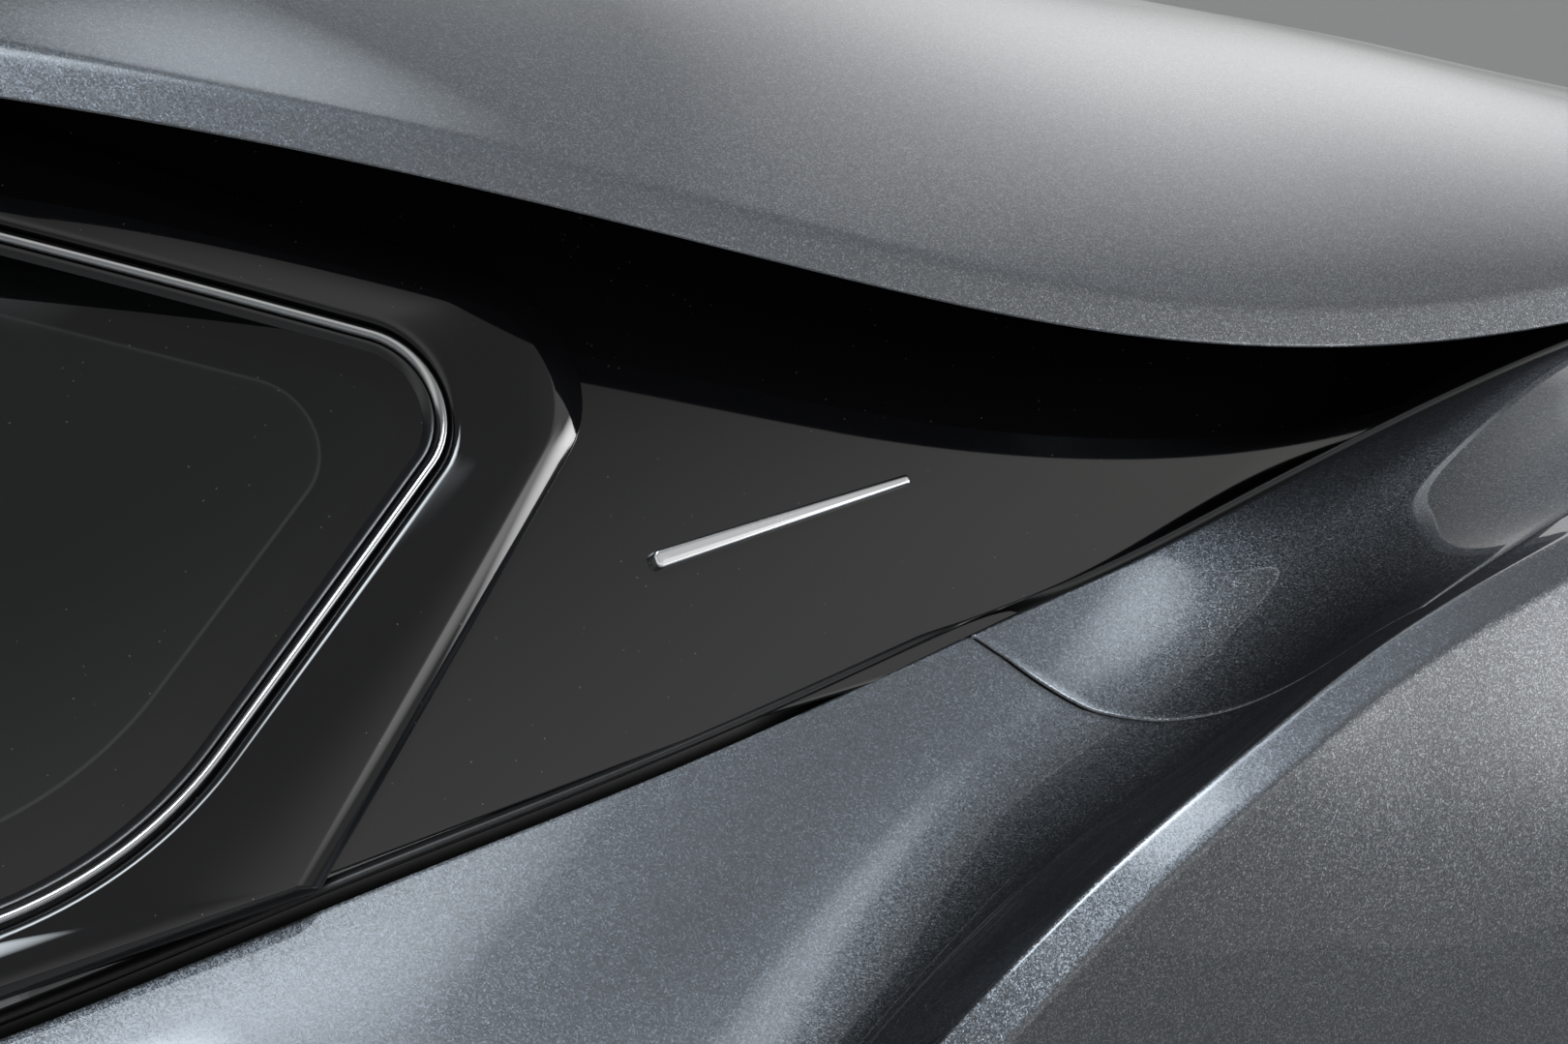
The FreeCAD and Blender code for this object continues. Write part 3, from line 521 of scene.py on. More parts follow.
def finished(name, grids, outward, stands_for, thick=0.0, sharp=40.0, inset=None):
    """Makes a piece from grids, gives it thickness, and lets it ride on the body."""
    mesh = mesh_from_grids(name, grids, outward, inset)
    piece = bpy.data.objects.new(name, mesh)
    scene.collection.objects.link(piece)
    if thick:
        wall = piece.modifiers.new("wall", "SOLIDIFY")
        wall.thickness, wall.offset = thick * MM, -1
        depsgraph = bpy.context.evaluated_depsgraph_get()
        solid = bpy.data.meshes.new_from_object(piece.evaluated_get(depsgraph))
        piece.modifiers.clear()
        piece.data = solid
        bpy.data.meshes.remove(mesh)
        solid.name = name
    places = np.empty(len(piece.data.vertices) * 3)
    piece.data.vertices.foreach_get("co", places)
    places = np.clip(places.reshape(-1, 3), np.array(BOX_LOW) * MM, np.array(BOX_HIGH) * MM)
    piece.data.vertices.foreach_set("co", places.ravel())
    piece.data.shade_smooth()
    piece.data.set_sharp_from_angle(angle=math.radians(sharp))
    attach(piece, "root")
    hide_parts(*stands_for)
    made[name] = piece
    print(name, "faces:", len(piece.data.polygons))


print("mesh helpers ready")

# %% [markdown]
# ## Edges of sheet metal
# A pressed panel never ends in a knife edge. It turns in over a small radius and ends in a flange,
# and that roll is what catches a thin line of light along every gap.


# %% Rolled edges
EDGE_SMOOTH = 6


def unit(vectors):
    """The same directions, each of length 1."""
    return vectors / np.maximum(np.linalg.norm(vectors, axis=-1, keepdims=True), 1e-9)


def edge_frame(inner, edge, outward):
    """At an edge of a sheet: the direction that leaves the sheet, square to the edge and averaged
    with its neighbours, and the normal, from the row of points next to the edge."""
    along = unit(np.gradient(edge, axis=0))
    leave = edge - inner
    leave = unit(leave - (leave * along).sum(1, keepdims=True) * along)
    for _ in range(EDGE_SMOOTH):
        ends = np.concatenate([leave[:1], leave, leave[-1:]])
        leave = unit(ends[:-2] + 2 * leave + ends[2:])
    normal = unit(np.cross(along, leave))
    flip = np.sign((normal * np.asarray(outward)).sum(1, keepdims=True))
    return leave, normal * np.where(flip == 0, 1, flip)


def rolled(inner, edge, outward, radius, depth, steps=6):
    """Rows that turn an edge in: radius*sin along the leaving direction and radius*(1 - cos)
    against the normal for a quarter turn, then a flange of the given depth."""
    leave, normal = edge_frame(inner, edge, outward)
    turn = np.linspace(0, np.pi / 2, steps)[:, None, None]
    arc = edge + radius * np.sin(turn) * leave - radius * (1 - np.cos(turn)) * normal
    return np.concatenate([arc, (arc[-1] - depth * normal)[None]])


print("edge helpers ready")

# %% [markdown]
# ## Fender
# The fender skin runs from the belt line down to the sill and over the wheel arch. Behind the
# window a separate channel panel starts at a curved seam, so the inboard part of the fender ends
# there: each row of its grid stops where it meets the seam, seen from above.

# %% Seam of the channel panel
SEAM = np.array([
    # x, y
    (-27, -128), (-12, -142), (8, -168), (28, -185), (50, -200), (80, -219), (112, -236),
], float)
SEAM_GAP, SEAM_ROLL, SKIN_THICK = 3.0, 1.2, 0.8
UPWARD = (0, -0.2, 1)
BELT_STOPS, FLANGE_DEPTHS = (17, 24), (0.4, 6.0)


def flange_depth(count):
    """Depth of the seam's flange at each of its points: shallow round the belt bend, where a deep
    one would come out through the skin, and full from there on."""
    return np.interp(np.arange(count), BELT_STOPS, FLANGE_DEPTHS)[:, None]


def seam_x(sections, shift):
    """For each stop, the x where its line along the car crosses the seam moved along by shift:
    the first place where x passes the seam's x at that point's y."""
    crossing = np.interp(-sections[..., 0], -SEAM[:, 1], SEAM[:, 0]) + shift
    past = SECTION_X[:, None] - crossing
    first = np.argmax(past > 0, axis=0)
    stop = np.arange(past.shape[1])
    low, high = past[first - 1, stop], past[first, stop]
    return SECTION_X[first - 1] - low / (high - low) * SECTION_STEP


seam_fender = seam_x(inner_sections, 0.0)
print("seam from x", np.round(seam_fender[0]), "to", np.round(seam_fender[-1]))

# %% Fender upper grids
FRONT_COLUMNS, REAR_COLUMNS = 190, 110
front_columns = np.linspace(FRONT_X, seam_fender[-1], FRONT_COLUMNS)
rear_columns = np.linspace(seam_fender[-1], REAR_X, REAR_COLUMNS)
all_columns = np.concatenate([front_columns, rear_columns[1:]])
share = (front_columns - FRONT_X) / (seam_fender[-1] - FRONT_X)
inner_x = FRONT_X + share[:, None] * (seam_fender - FRONT_X)[None]
fender_inner = surface(inner_sections, inner_x)
fender_outer = surface(outer_sections, np.repeat(all_columns[:, None], len(outer_stops), axis=1))
print("fender grids:", fender_inner.shape, fender_outer.shape)

# %% [markdown]
# Below the strip the flank is a plain function y over x and z. One grid carries it down to a level
# just above the arch. The rest is ruled: straight lines in the side view run from the arch circle
# out to the level line and the two ends, and each of their points takes its y from the flank.

# %% Fender flank
WHEEL_Z, ARCH_R, ARCH_ROLL, ARCH_LIP_Y = -450.0, 355.0, 2.5, -288.0
SPLIT_Z, REAR_LEG_Z = -80.0, -320.0
FALL_ROWS, FRONT_RUNGS, REAR_RUNGS = 16, 70, 40
top_z = fender_outer[:, -1, 2]
fall = np.linspace(0, 1, FALL_ROWS)[None]
upper_z = top_z[:, None] + fall * (SPLIT_Z - top_z[:, None])
flank_upper = flank_points(np.repeat(all_columns[:, None], FALL_ROWS, axis=1), upper_z)
flank_upper[:, 0] = fender_outer[:, -1]

front_rise = np.linspace(SILL_Z, SPLIT_Z, FRONT_RUNGS)[:-1]
rear_fall = np.linspace(SPLIT_Z, REAR_LEG_Z, REAR_RUNGS)[1:]
outer_line = np.concatenate([
    pair(np.full_like(front_rise, FRONT_X), front_rise),
    pair(all_columns, np.full_like(all_columns, SPLIT_Z)),
    pair(np.full_like(rear_fall, REAR_X), rear_fall),
])
outer_angle = np.unwrap(np.arctan2(outer_line[:, 1] - WHEEL_Z, outer_line[:, 0]))
first_angle = math.pi + math.asin((WHEEL_Z - SILL_Z) / ARCH_R)
last_angle = math.asin((REAR_LEG_Z - WHEEL_Z) / ARCH_R)
outer_share = (outer_angle - outer_angle[0]) / (outer_angle[-1] - outer_angle[0])
angle = first_angle + outer_share * (last_angle - first_angle)
wheel_way = pair(np.cos(angle), np.sin(angle))
arch_line = np.array([0.0, WHEEL_Z]) + (ARCH_R + ARCH_ROLL) * wheel_way
rule = np.concatenate([[0, 0.004, 0.012, 0.025], np.linspace(0.05, 1, 34)])[:, None, None]
ruled = arch_line[None] + rule * (outer_line - arch_line)[None]
flank_lower = flank_points(ruled[..., 0], ruled[..., 1])
print("flank grids:", flank_upper.shape, flank_lower.shape)

# %% [markdown]
# The arch edge turns in over a quarter round and ends in a flange that points at the wheel well.

# %% Arch lip
LIP_LAND = 8.0
turn = np.linspace(0, np.pi / 2, 7)[:, None]
lip_radius = (ARCH_R + ARCH_ROLL) - ARCH_ROLL * np.sin(turn)
lip_radius = np.concatenate([lip_radius, [[ARCH_R], [ARCH_R]]])
lip_y = flank_lower[0][None, :, 1] + ARCH_ROLL * (1 - np.cos(turn))
lip_y = np.concatenate([lip_y, lip_y[-1:] + LIP_LAND, np.full_like(lip_y[-1:], ARCH_LIP_Y)])
arch_lip = np.stack([
    lip_radius * wheel_way[None, :, 0], lip_y, WHEEL_Z + lip_radius * wheel_way[None, :, 1],
], -1)
print("arch lip:", arch_lip.shape)

# %% Fender
seam_edge = np.concatenate([fender_inner[-1], fender_outer[FRONT_COLUMNS:, 0]])
seam_inner = np.concatenate([fender_inner[-2], fender_outer[FRONT_COLUMNS:, 1]])
seam_roll = rolled(seam_inner, seam_edge, UPWARD, SEAM_ROLL, flange_depth(len(seam_edge)))
fender_grids = [fender_inner, fender_outer, flank_upper, flank_lower, arch_lip, seam_roll]
finished("fender", fender_grids, (0, -1, 0.2), ["fender_skin"], thick=SKIN_THICK)

# %% [markdown]
# ## Channel panel
# The panel behind the seam uses the same sections as the fender, so its surface carries straight
# on across the gap. Its front and outer edges are rolled in like the fender's.

# %% Channel panel
CHANNEL_ROWS = 130
inset_sections = points_at(shoulder_fine, distances(key_run, inboard_stops(SEAM_INSET - SEAM_GAP)))
channel_start = seam_x(inset_sections, SEAM_GAP + 1.0)
share = np.linspace(0, 1, CHANNEL_ROWS)[:, None]
channel = surface(inset_sections, channel_start[None] + share * (REAR_X - channel_start)[None])
channel_edge = np.concatenate([channel[0], channel[1:, -1]])
channel_inner = np.concatenate([channel[1], channel[1:, -2]])
channel_roll = rolled(channel_inner, channel_edge, UPWARD, SEAM_ROLL, flange_depth(len(channel_edge)))
finished("channel_panel", [channel, channel_roll], UPWARD, ["rear_channel_panel"],
         thick=SKIN_THICK)

# %% [markdown]
# ## Buttress
# The roof runs down to the tail as a flying buttress. Its lower edge is a rolled flange, then a
# narrow band climbs to a soft crease, and from there the skin is one crowned sheet up to the roof
# edge, where it turns down again.

# %% Buttress sections
BUTTRESS = [
    # x, edge_y, edge_z, roof_z
    (-640, -106, 424, 508),
    (-472, -117, 402, 487),
    (-304, -122.5, 365, 460),
    (-136, -122.5, 313, 428),
    (32, -124, 260.5, 391),
    (204, -111, 230.5, 344),
    (372, -80, 223, 306),
    (540, -26, 223, 259),
]
EDGE_RETURN, EDGE_RISE, CREASE_IN, CREASE_UP = 12.0, 2.0, 10.0, 15.0
CROWN, ROOF_EDGE_Y, ROOF_FLANGE = 16.0, 150.0, 18.0

edge_y, edge_z, roof_z = spline_rows(BUTTRESS, SECTION_X).T
back = pair(edge_y + EDGE_RETURN, edge_z + EDGE_RISE)
edge = pair(edge_y, edge_z)
crease = pair(edge_y + CREASE_IN, edge_z + CREASE_UP)
roof = pair(np.full_like(roof_z, ROOF_EDGE_Y), roof_z)
flange = pair(np.full_like(roof_z, ROOF_EDGE_Y), roof_z - ROOF_FLANGE)
chord = roof - crease
side = unit(pair(-chord[:, 1], chord[:, 0]))
crown_angle = 2 * np.arctan(2 * CROWN / np.linalg.norm(chord, axis=1)[:, None])
start_way = unit(unit(chord) * np.cos(crown_angle) + side * np.sin(crown_angle))
BACK_POINTS, BAND_POINTS, CROWN_POINTS, SKIN_POINTS = 10, 12, 120, 600
BUTTRESS_POINTS, CREASE_REACH, EDGE_REACH = 640, 9, 4
crowned = np.concatenate([
    line_points(edge, crease, BAND_POINTS),
    arc_points(crease, start_way, roof, CROWN_POINTS)[:, 1:]], axis=1)
crease_run = run_length(crowned)[:, BAND_POINTS - 1]
crowned = eased(evenly(crowned, SKIN_POINTS), CREASE_REACH)
chain = np.concatenate([
    line_points(back, edge, BACK_POINTS), crowned[:, 1:],
    line_points(roof, flange, BAND_POINTS)[:, 1:]], axis=1)
ends = run_length(chain)[:, [0, BACK_POINTS - 1, BACK_POINTS + SKIN_POINTS - 2, -1]]
butt_run = np.column_stack([ends[:, 0], ends[:, 1], ends[:, 1] + crease_run, ends[:, 2:]])
BACK, EDGE, CREASE, ROOF, FLANGE = range(5)
buttress_fine = eased(evenly(chain, BUTTRESS_POINTS), EDGE_REACH)
print("buttress section length:", np.round(butt_run[:, -1].min()), np.round(butt_run[:, -1].max()))

# %% Buttress skin
BUTTRESS_ROWS = 260
CREASE_MOVES = (-8, -6, -4, -2.5, -1, 0, 1, 2.5, 4, 6, 8, 11, 15)
butt_stops = (stops_near(BACK, (0,)) + stops_between(BACK, 0, EDGE, -6, 1) + stops_near(EDGE)
              + stops_near(CREASE, CREASE_MOVES) + stops_between(CREASE, 15, ROOF, -8, 40)
              + stops_near(ROOF) + stops_near(FLANGE, (0,)))
butt_sections = points_at(buttress_fine, distances(butt_run, butt_stops))
butt_x = np.repeat(np.linspace(FRONT_X, REAR_X, BUTTRESS_ROWS)[:, None], len(butt_stops), axis=1)
finished("buttress", [surface(butt_sections, butt_x)], (0, -0.3, 1),
         ["buttress_skin"], thick=1.2)

# %% [markdown]
# ## The side glass surface
# Window, frame and pillar panel all lie on one surface, as they do on a car: a barrel that leans
# in and tapers in plan. A place on it is given by s along the car, t up it and n out of it.

# %% Side glass surface
GLASS_ORIGIN = np.array([-90.0, -114.0, 200.0])
PLAN_TAPER, LEAN = math.radians(12.0), math.radians(32.0)
BARREL_UP, BARREL_ALONG = 1600.0, 4500.0
ALONG = np.array([math.cos(PLAN_TAPER), math.sin(PLAN_TAPER), 0.0])
ACROSS = np.array([math.sin(PLAN_TAPER), -math.cos(PLAN_TAPER), 0.0])
OUT = ACROSS * math.cos(LEAN) + np.array([0, 0, math.sin(LEAN)])
UP = np.cross(OUT, ALONG)


def on_glass(s, t, n):
    """Point at s along and t up the side glass surface, n out of it. The barrel falls away by
    t^2 / (2 * BARREL_UP) + s^2 / (2 * BARREL_ALONG)."""
    depth = n - t ** 2 / (2 * BARREL_UP) - s ** 2 / (2 * BARREL_ALONG)
    return GLASS_ORIGIN + s[..., None] * ALONG + t[..., None] * UP + depth[..., None] * OUT


def grown(corners, grow):
    """Corners (s, t, radius) of an outline moved outwards by grow: each goes along the mitre of
    its two edges. The outline runs anticlockwise, so outwards is to the right of it."""
    corners = np.asarray(corners, float)
    place = corners[:, :2]
    before = unit(place - np.roll(place, 1, axis=0))
    after = unit(np.roll(place, -1, axis=0) - place)
    mitre = unit(np.stack([(before + after)[:, 1], -(before + after)[:, 0]], 1))
    right = np.stack([before[:, 1], -before[:, 0]], 1)
    moved = place + grow * mitre / (mitre * right).sum(1, keepdims=True)
    radius = np.maximum(corners[:, 2] + grow, 1.0)
    return np.column_stack([moved, radius])


PER_EDGE, PER_CORNER = 28, 20


def outline(corners, grow=0.0):
    """Closed outline with rounded corners. Every corner has PER_CORNER points on its arc and
    every edge PER_EDGE, so outlines with as many corners match point for point."""
    corners = grown(corners, grow)
    place, radius = corners[:, :2], corners[:, 2]
    to_before = unit(np.roll(place, 1, axis=0) - place)
    to_after = unit(np.roll(place, -1, axis=0) - place)
    half = np.arccos(np.clip((to_before * to_after).sum(1), -1, 1)) / 2
    reach = (radius / np.tan(half))[:, None]
    first, last = place + reach * to_before, place + reach * to_after
    arcs = arc_points(first, -to_before, last, PER_CORNER)
    edges = line_points(last, np.roll(first, -1, axis=0), PER_EDGE + 2)[:, 1:-1]
    return np.concatenate([arcs, edges], axis=1).reshape(-1, 2)


print("glass normal:", np.round(OUT, 4))

# %% [markdown]
# ## Outlines of the window
# The gloss black frame is wide at the rear. Its face ends before its foot does, and between them
# the side slopes down to the panel. It leaves the face at 11 degrees, at a soft crease, and reaches
# 25 at the foot. The inner edge of the frame is a thin bead round the glass.

# %% Window outlines
FRAME_OUTLINE = [
    # s, t, radius
    (-562, -83, 6), (-228, -78, 4), (-34, 82.6, 43), (-318, 240, 320), (-520, 269, 6),
]
FACE_OUTLINE = [
    # s, t, radius
    (-560, -80, 5), (-237.5, -75.5, 4), (-54, 78.5, 37), (-322, 226, 320), (-519, 256, 6),
]
BEAD_OUTLINE = [
    # s, t, radius
    (-512, -64, 40), (-285, -58, 170), (-93, 78, 32), (-310, 188, 300), (-474, 212, 30),
]
FRIT_INSET = 30.0
FRIT_RADII = [25, 150, 24, 280, 22]


def ring_rows(rows):
    """Closed grid from rows (outline points, height or heights): each repeats its first point."""
    loops = []
    for points, height in rows:
        spot = np.column_stack([points, np.broadcast_to(height, len(points))])
        loops.append(on_glass(*np.concatenate([spot, spot[:1]]).T))
    return np.stack(loops)


def profile(corners, steps):
    """Rows of one outline, for steps (growth, height)."""
    return [(outline(corners, grow), height) for grow, height in steps]


def mixed(near, far, share):
    """Points a share of the way from near to far."""
    return (1 - share) * near + share * far


print("points round an outline:", 5 * (PER_EDGE + PER_CORNER))

# %% Window frame
FACE_LOW, FACE_CROWN, FACE_TOP, SIDE_DROP = 9.1, 2.8, 11.9, 10.5
FACE_STEPS, SIDE_STEPS, SIDE_ANGLES = 15, 16, (11.0, 25.0)
FOOT_SINK = 0.6
rows = profile(BEAD_OUTLINE, [
    (0.0, 1.0), (0.0, 4.0), (0.0, 5.6), (0.2, 6.5), (0.6, 7.4), (1.2, 8.1), (1.9, 8.6), (2.7, 8.9)])
near, far = outline(BEAD_OUTLINE, 3.5), outline(FACE_OUTLINE, -1.4)
for f in np.linspace(0.0, 1.0, FACE_STEPS):
    rows.append((mixed(near, far, f), FACE_LOW + FACE_CROWN * math.sin(f * math.pi / 2)))
near, far = outline(FACE_OUTLINE, -1.0), outline(FRAME_OUTLINE, -0.5)
side_width = np.linalg.norm(far - near, axis=1)
slope = np.tan(np.radians(np.linspace(*SIDE_ANGLES, SIDE_STEPS)))
side_fall = np.append(0, np.cumsum((slope[1:] + slope[:-1]) / 2)) / (SIDE_STEPS - 1)
for f, fall in zip(np.linspace(0.0, 1.0, SIDE_STEPS), side_fall):
    rows.append((mixed(near, far, f), FACE_TOP - np.minimum(side_width * fall, SIDE_DROP)))
foot = rows[-1][1]
rows += profile(FRAME_OUTLINE, [
    (grow, foot * f - FOOT_SINK * (1 - f))
    for grow, f in ((-0.2, 0.93), (-0.05, 0.8), (0.0, 0.6), (0.0, 0.0))])
finished("window_frame_face", [ring_rows(rows)], OUT, ["window_frame"], sharp=50)

# %% Bead and glass run
BEAD_STEPS = [
    # growth of the bead's outline, height
    (-1.1, 3.0), (-1.1, 6.6), (-1.4, 7.4), (-2.0, 7.9), (-2.8, 8.0), (-3.7, 7.6), (-4.5, 6.7),
    (-4.9, 5.6), (-5.0, 3.0),
]
SEAL_STEPS = [
    (-5.3, 3.1), (-5.3, 4.9), (-5.6, 5.4), (-6.2, 5.3), (-6.9, 4.8), (-7.6, 4.1), (-8.1, 3.6),
    (-8.5, 3.05),
]
for name, steps, slot, node in (
        ("window_bead", BEAD_STEPS, "bright_trim", "frame_bead"),
        ("window_seal_lip", SEAL_STEPS, "rubber_seal", "window_seal")):
    finished(name, [ring_rows(profile(BEAD_OUTLINE, steps))], OUT, [node], sharp=60)

# %% [markdown]
# ## Glass
# The glass is a plate with a dark printed border. The grid has rings at the border's edge, and an
# attribute on the points says how far inside that edge a point is, for the material to use.

# %% Quarter glass
GLASS_FRONT, GLASS_THICK = 3.0, 4.0
LINE_HALF, INNER_SCALE = 0.9, 60.0
frit = grown(BEAD_OUTLINE, -FRIT_INSET)
frit[:, 2] = FRIT_RADII
centre = frit[:, :2].mean(0)


def glass_rings(n):
    """Rings from the edge in to the middle, and the distance of each inside the printed border."""
    rings = [(outline(BEAD_OUTLINE, grow), -FRIT_INSET - grow) for grow in (-1.0, -6.0, -14.0, -22.0)]
    rings += [(outline(frit, grow), -grow) for grow in (LINE_HALF, 0.3, -0.3, -LINE_HALF)]
    last = rings[-1][0]
    rings += [(last + f * (centre - last), LINE_HALF + INNER_SCALE * f)
              for f in (0.12, 0.28, 0.45, 0.62, 0.8, 0.93, 1.0)]
    return ring_rows([(ring, n) for ring, _ in rings]), np.array([inside for _, inside in rings])


front_rings, inside = glass_rings(GLASS_FRONT)
back_rings, _ = glass_rings(GLASS_FRONT - GLASS_THICK)
rim = np.stack([front_rings[0], back_rings[0]])
ring_inset = np.repeat(inside, front_rings.shape[1])
pane_inset = np.concatenate([ring_inset, ring_inset, np.full(rim[..., 0].size, inside[0])])
finished("quarter_glass_pane", [front_rings, back_rings, rim], None,
         ["quarter_glass"], sharp=50, inset=pane_inset)

# %% [markdown]
# ## Pillar panel
# The panel fills the space between the window frame, the belt line and the underside of the
# buttress. It has a hole behind the glass, so its grid is ruled from a loop under the frame out to
# the panel's own edge, and every point is put on the glass surface.


# %% Pillar panel edge
def height_on_glass(s, z):
    """t where the glass surface at s reaches the height z, by repeated substitution."""
    t = np.zeros_like(s)
    for _ in range(20):
        depth = -t ** 2 / (2 * BARREL_UP) - s ** 2 / (2 * BARREL_ALONG)
        t = (z(s, t) - GLASS_ORIGIN[2] - depth * OUT[2]) / UP[2]
    return t


LINER_LAP, LINER_BOW, LINER, ROOF_SKIN, FIT = 2.0, 9.0, 2.5, 3.0, 0.3
PANEL_ABOVE_LINER, PANEL_BELOW_BELT = 5.0, 33.0
DIVE_DEPTH, DIVE_START, DIVE_LENGTH = 20.0, 60.0, 150.0


def liner_height(s, t):
    """Height of the underside of the buttress over a point of the glass surface, and a little
    more. Across the car it is a straight line with a bow of 4 * bow * share * (1 - share)."""
    x, y, _ = np.moveaxis(on_glass(s, t, np.zeros_like(s)), -1, 0)
    outer_y = station_value(edge_y, x) + EDGE_RETURN - LINER_LAP
    outer_z = station_value(edge_z, x) + ROOF_SKIN + EDGE_RISE + FIT
    inner_y = ROOF_EDGE_Y - ROOF_SKIN
    inner_z = station_value(roof_z, x) - ROOF_FLANGE - LINER - FIT
    share = (y - outer_y) / (inner_y - outer_y)
    bow = 4 * LINER_BOW * share * (1 - share)
    return outer_z + share * (inner_z - outer_z) + bow + PANEL_ABOVE_LINER


def belt_height(s, t):
    """Height of the belt line beside a point of the glass surface, less the part that is hidden,
    which gets deeper behind the window."""
    x = on_glass(s, t, np.zeros_like(s))[..., 0]
    dive = DIVE_DEPTH * np.clip((x - DIVE_START) / DIVE_LENGTH, 0, 1)
    return station_value(belt_z, x) - PANEL_BELOW_BELT - dive


PANEL_FRONT, PANEL_TAIL, PANEL_TOP_FRONT = -560.0, 560.0, -500.0
PANEL_FOOT = np.array([
    # s, t of the lower edge beside the window
    (PANEL_FRONT, -84.0), (-213.0, -72.0), (-66.0, -65.0), (60.0, -66.0),
])
bottom_s = np.linspace(PANEL_FRONT, PANEL_TAIL, 400)
foot_t = np.interp(bottom_s, *PANEL_FOOT.T)
behind = bottom_s >= PANEL_FOOT[-1, 0]
bottom_t = np.where(behind, np.maximum(height_on_glass(bottom_s, belt_height), foot_t), foot_t)
top_s = np.linspace(PANEL_TAIL, PANEL_TOP_FRONT, 360)
top_t = height_on_glass(top_s, liner_height)
print("panel height at the tail:", np.round(top_t[0] - bottom_t[-1], 1), "mm")

# %% Pillar panel
PANEL_MIDDLE = np.array([-330.0, 60.0])
TAIL_POINTS, FRONT_POINTS, PANEL_RUNGS = 22, 82, 22
PANEL_ROLL, PANEL_FLANGE, PANEL_THICK = 0.9, 2.0, 2.0
bottom, top = pair(bottom_s, bottom_t), pair(top_s, top_t)
loop = np.concatenate([
    bottom, np.linspace(bottom[-1], top[0], TAIL_POINTS)[1:-1],
    top, np.linspace(top[-1], bottom[0], FRONT_POINTS)[1:-1], bottom[:1],
])
under_frame = outline(FACE_OUTLINE, -4.0) - PANEL_MIDDLE
under_angle = np.arctan2(under_frame[:, 1], under_frame[:, 0])
order = np.argsort(under_angle)
loop_way = loop - PANEL_MIDDLE
under_reach = np.interp(
    np.arctan2(loop_way[:, 1], loop_way[:, 0]), under_angle[order],
    np.linalg.norm(under_frame, axis=1)[order], period=2 * np.pi)
hole = PANEL_MIDDLE + under_reach[:, None] * unit(loop_way)
rule = np.append(np.linspace(0, 0.97, PANEL_RUNGS), 1.0)[:, None, None]
plane = hole[None] + rule * (loop - hole)[None]
panel = on_glass(plane[..., 0], plane[..., 1], np.zeros(plane.shape[:2]))
panel_roll = rolled(panel[-2], panel[-1], OUT, PANEL_ROLL, PANEL_FLANGE)
finished("pillar_panel", [panel, panel_roll], OUT, ["c_pillar_panel"],
         thick=PANEL_THICK)

# %% [markdown]
# ## Belt seal
# A rubber seal runs along the whole belt line. Beside the window it leans on the panel and dips to
# the paint, so its profile is given as shares of the way from panel to paint. Further back the panel
# dives behind the painted channel, and the seal becomes a narrow lip on the channel's edge. One
# profile turns into the other over 90 mm.

# %% Belt seal
LEANING = np.array([
    # share of the way from panel to paint, rise above the straight line
    (-0.05, -2.0), (0.0, 0.6), (0.06, 1.4), (0.15, 1.9), (0.24, 1.6), (0.30, 0.6), (0.34, -1.5),
    (0.42, -5.0), (0.62, -7.0), (0.85, -6.0), (1.0, -4.0),
])
STANDING = np.array([
    # inboard of the painted edge, above it
    (8.5, -10.0), (8.0, -5.0), (7.2, -2.0), (6.2, -0.2), (5.0, 0.7), (4.0, 0.7), (3.3, 0.1),
    (2.8, -1.0), (2.4, -2.2), (2.0, -3.4), (1.5, -4.0),
])
SEAL_ABOVE_BELT, LIP_HEIGHT, TO_PAINT = 7.0, 0.3, np.array([0.0, 1.5, -4.0])
TURN_START, TURN_LENGTH = -45.0, 90.0
seal_x = np.linspace(-632.0, 538.0, 420)
painted_edge = np.stack([
    seal_x, station_value(belt_y, seal_x), station_value(belt_z, seal_x)], 1)
seal_s, seal_t = (painted_edge - GLASS_ORIGIN) @ ALONG, (painted_edge - GLASS_ORIGIN) @ UP
lip_foot = on_glass(seal_s, seal_t + SEAL_ABOVE_BELT, np.full_like(seal_s, LIP_HEIGHT))
across = painted_edge + TO_PAINT - lip_foot
rise = unit(np.cross(np.gradient(lip_foot, axis=0), across))
rise *= np.sign(rise @ OUT)[:, None]
share, lift = LEANING.T[:, :, None, None]
leaning = lip_foot[None] + share * across[None] + lift * rise[None]
standing = painted_edge[None] + np.pad(STANDING, ((0, 0), (1, 0)))[:, None]
turned = np.clip((seal_x - TURN_START) / TURN_LENGTH, 0.0, 1.0)
turned = (turned * turned * (3 - 2 * turned))[None, :, None]
finished("belt_seal_lip", [mixed(leaning, standing, turned)], OUT, ["belt_seal"],
         thick=0.8)

# %% [markdown]
# ## Accent bar
# A plain bright bar sits where such panels carry a badge. It is a long tapered plate with a
# bevelled rim, made of outlines that shrink as they rise.

# %% Accent bar
BAR_OUTLINE = [
    # s, t, radius
    (-62, -5.7, 2.4), (62, 1.7, 1.2), (62, 5.7, 1.2), (-62, 1.3, 2.4),
]
BAR_TOP, BAR_CROWN, SPINE_HALF, SPINE_SLOPE = 3.3, 0.12, 59.0, 0.0473
rows = profile(BAR_OUTLINE, [
    (0.0, 0.0), (0.0, 2.3), (-0.1, 2.7), (-0.35, 3.05), (-0.75, 3.25), (-0.9, BAR_TOP)])
flat_top = rows[-1][0]
spine = pair(np.clip(flat_top[:, 0], -SPINE_HALF, SPINE_HALF), SPINE_SLOPE * flat_top[:, 0])
rows += [(mixed(flat_top, spine, f), BAR_TOP + BAR_CROWN * f) for f in (0.3, 0.65, 1.0)]
finished("bright_bar", [ring_rows(rows)], OUT, ["accent_bar"])

# %% [markdown]
# ## Materials
# Every finish is a node network on Object coordinates, so it stays on the piece from any side.
# Flakes, scratches and dust are node groups with named sockets.


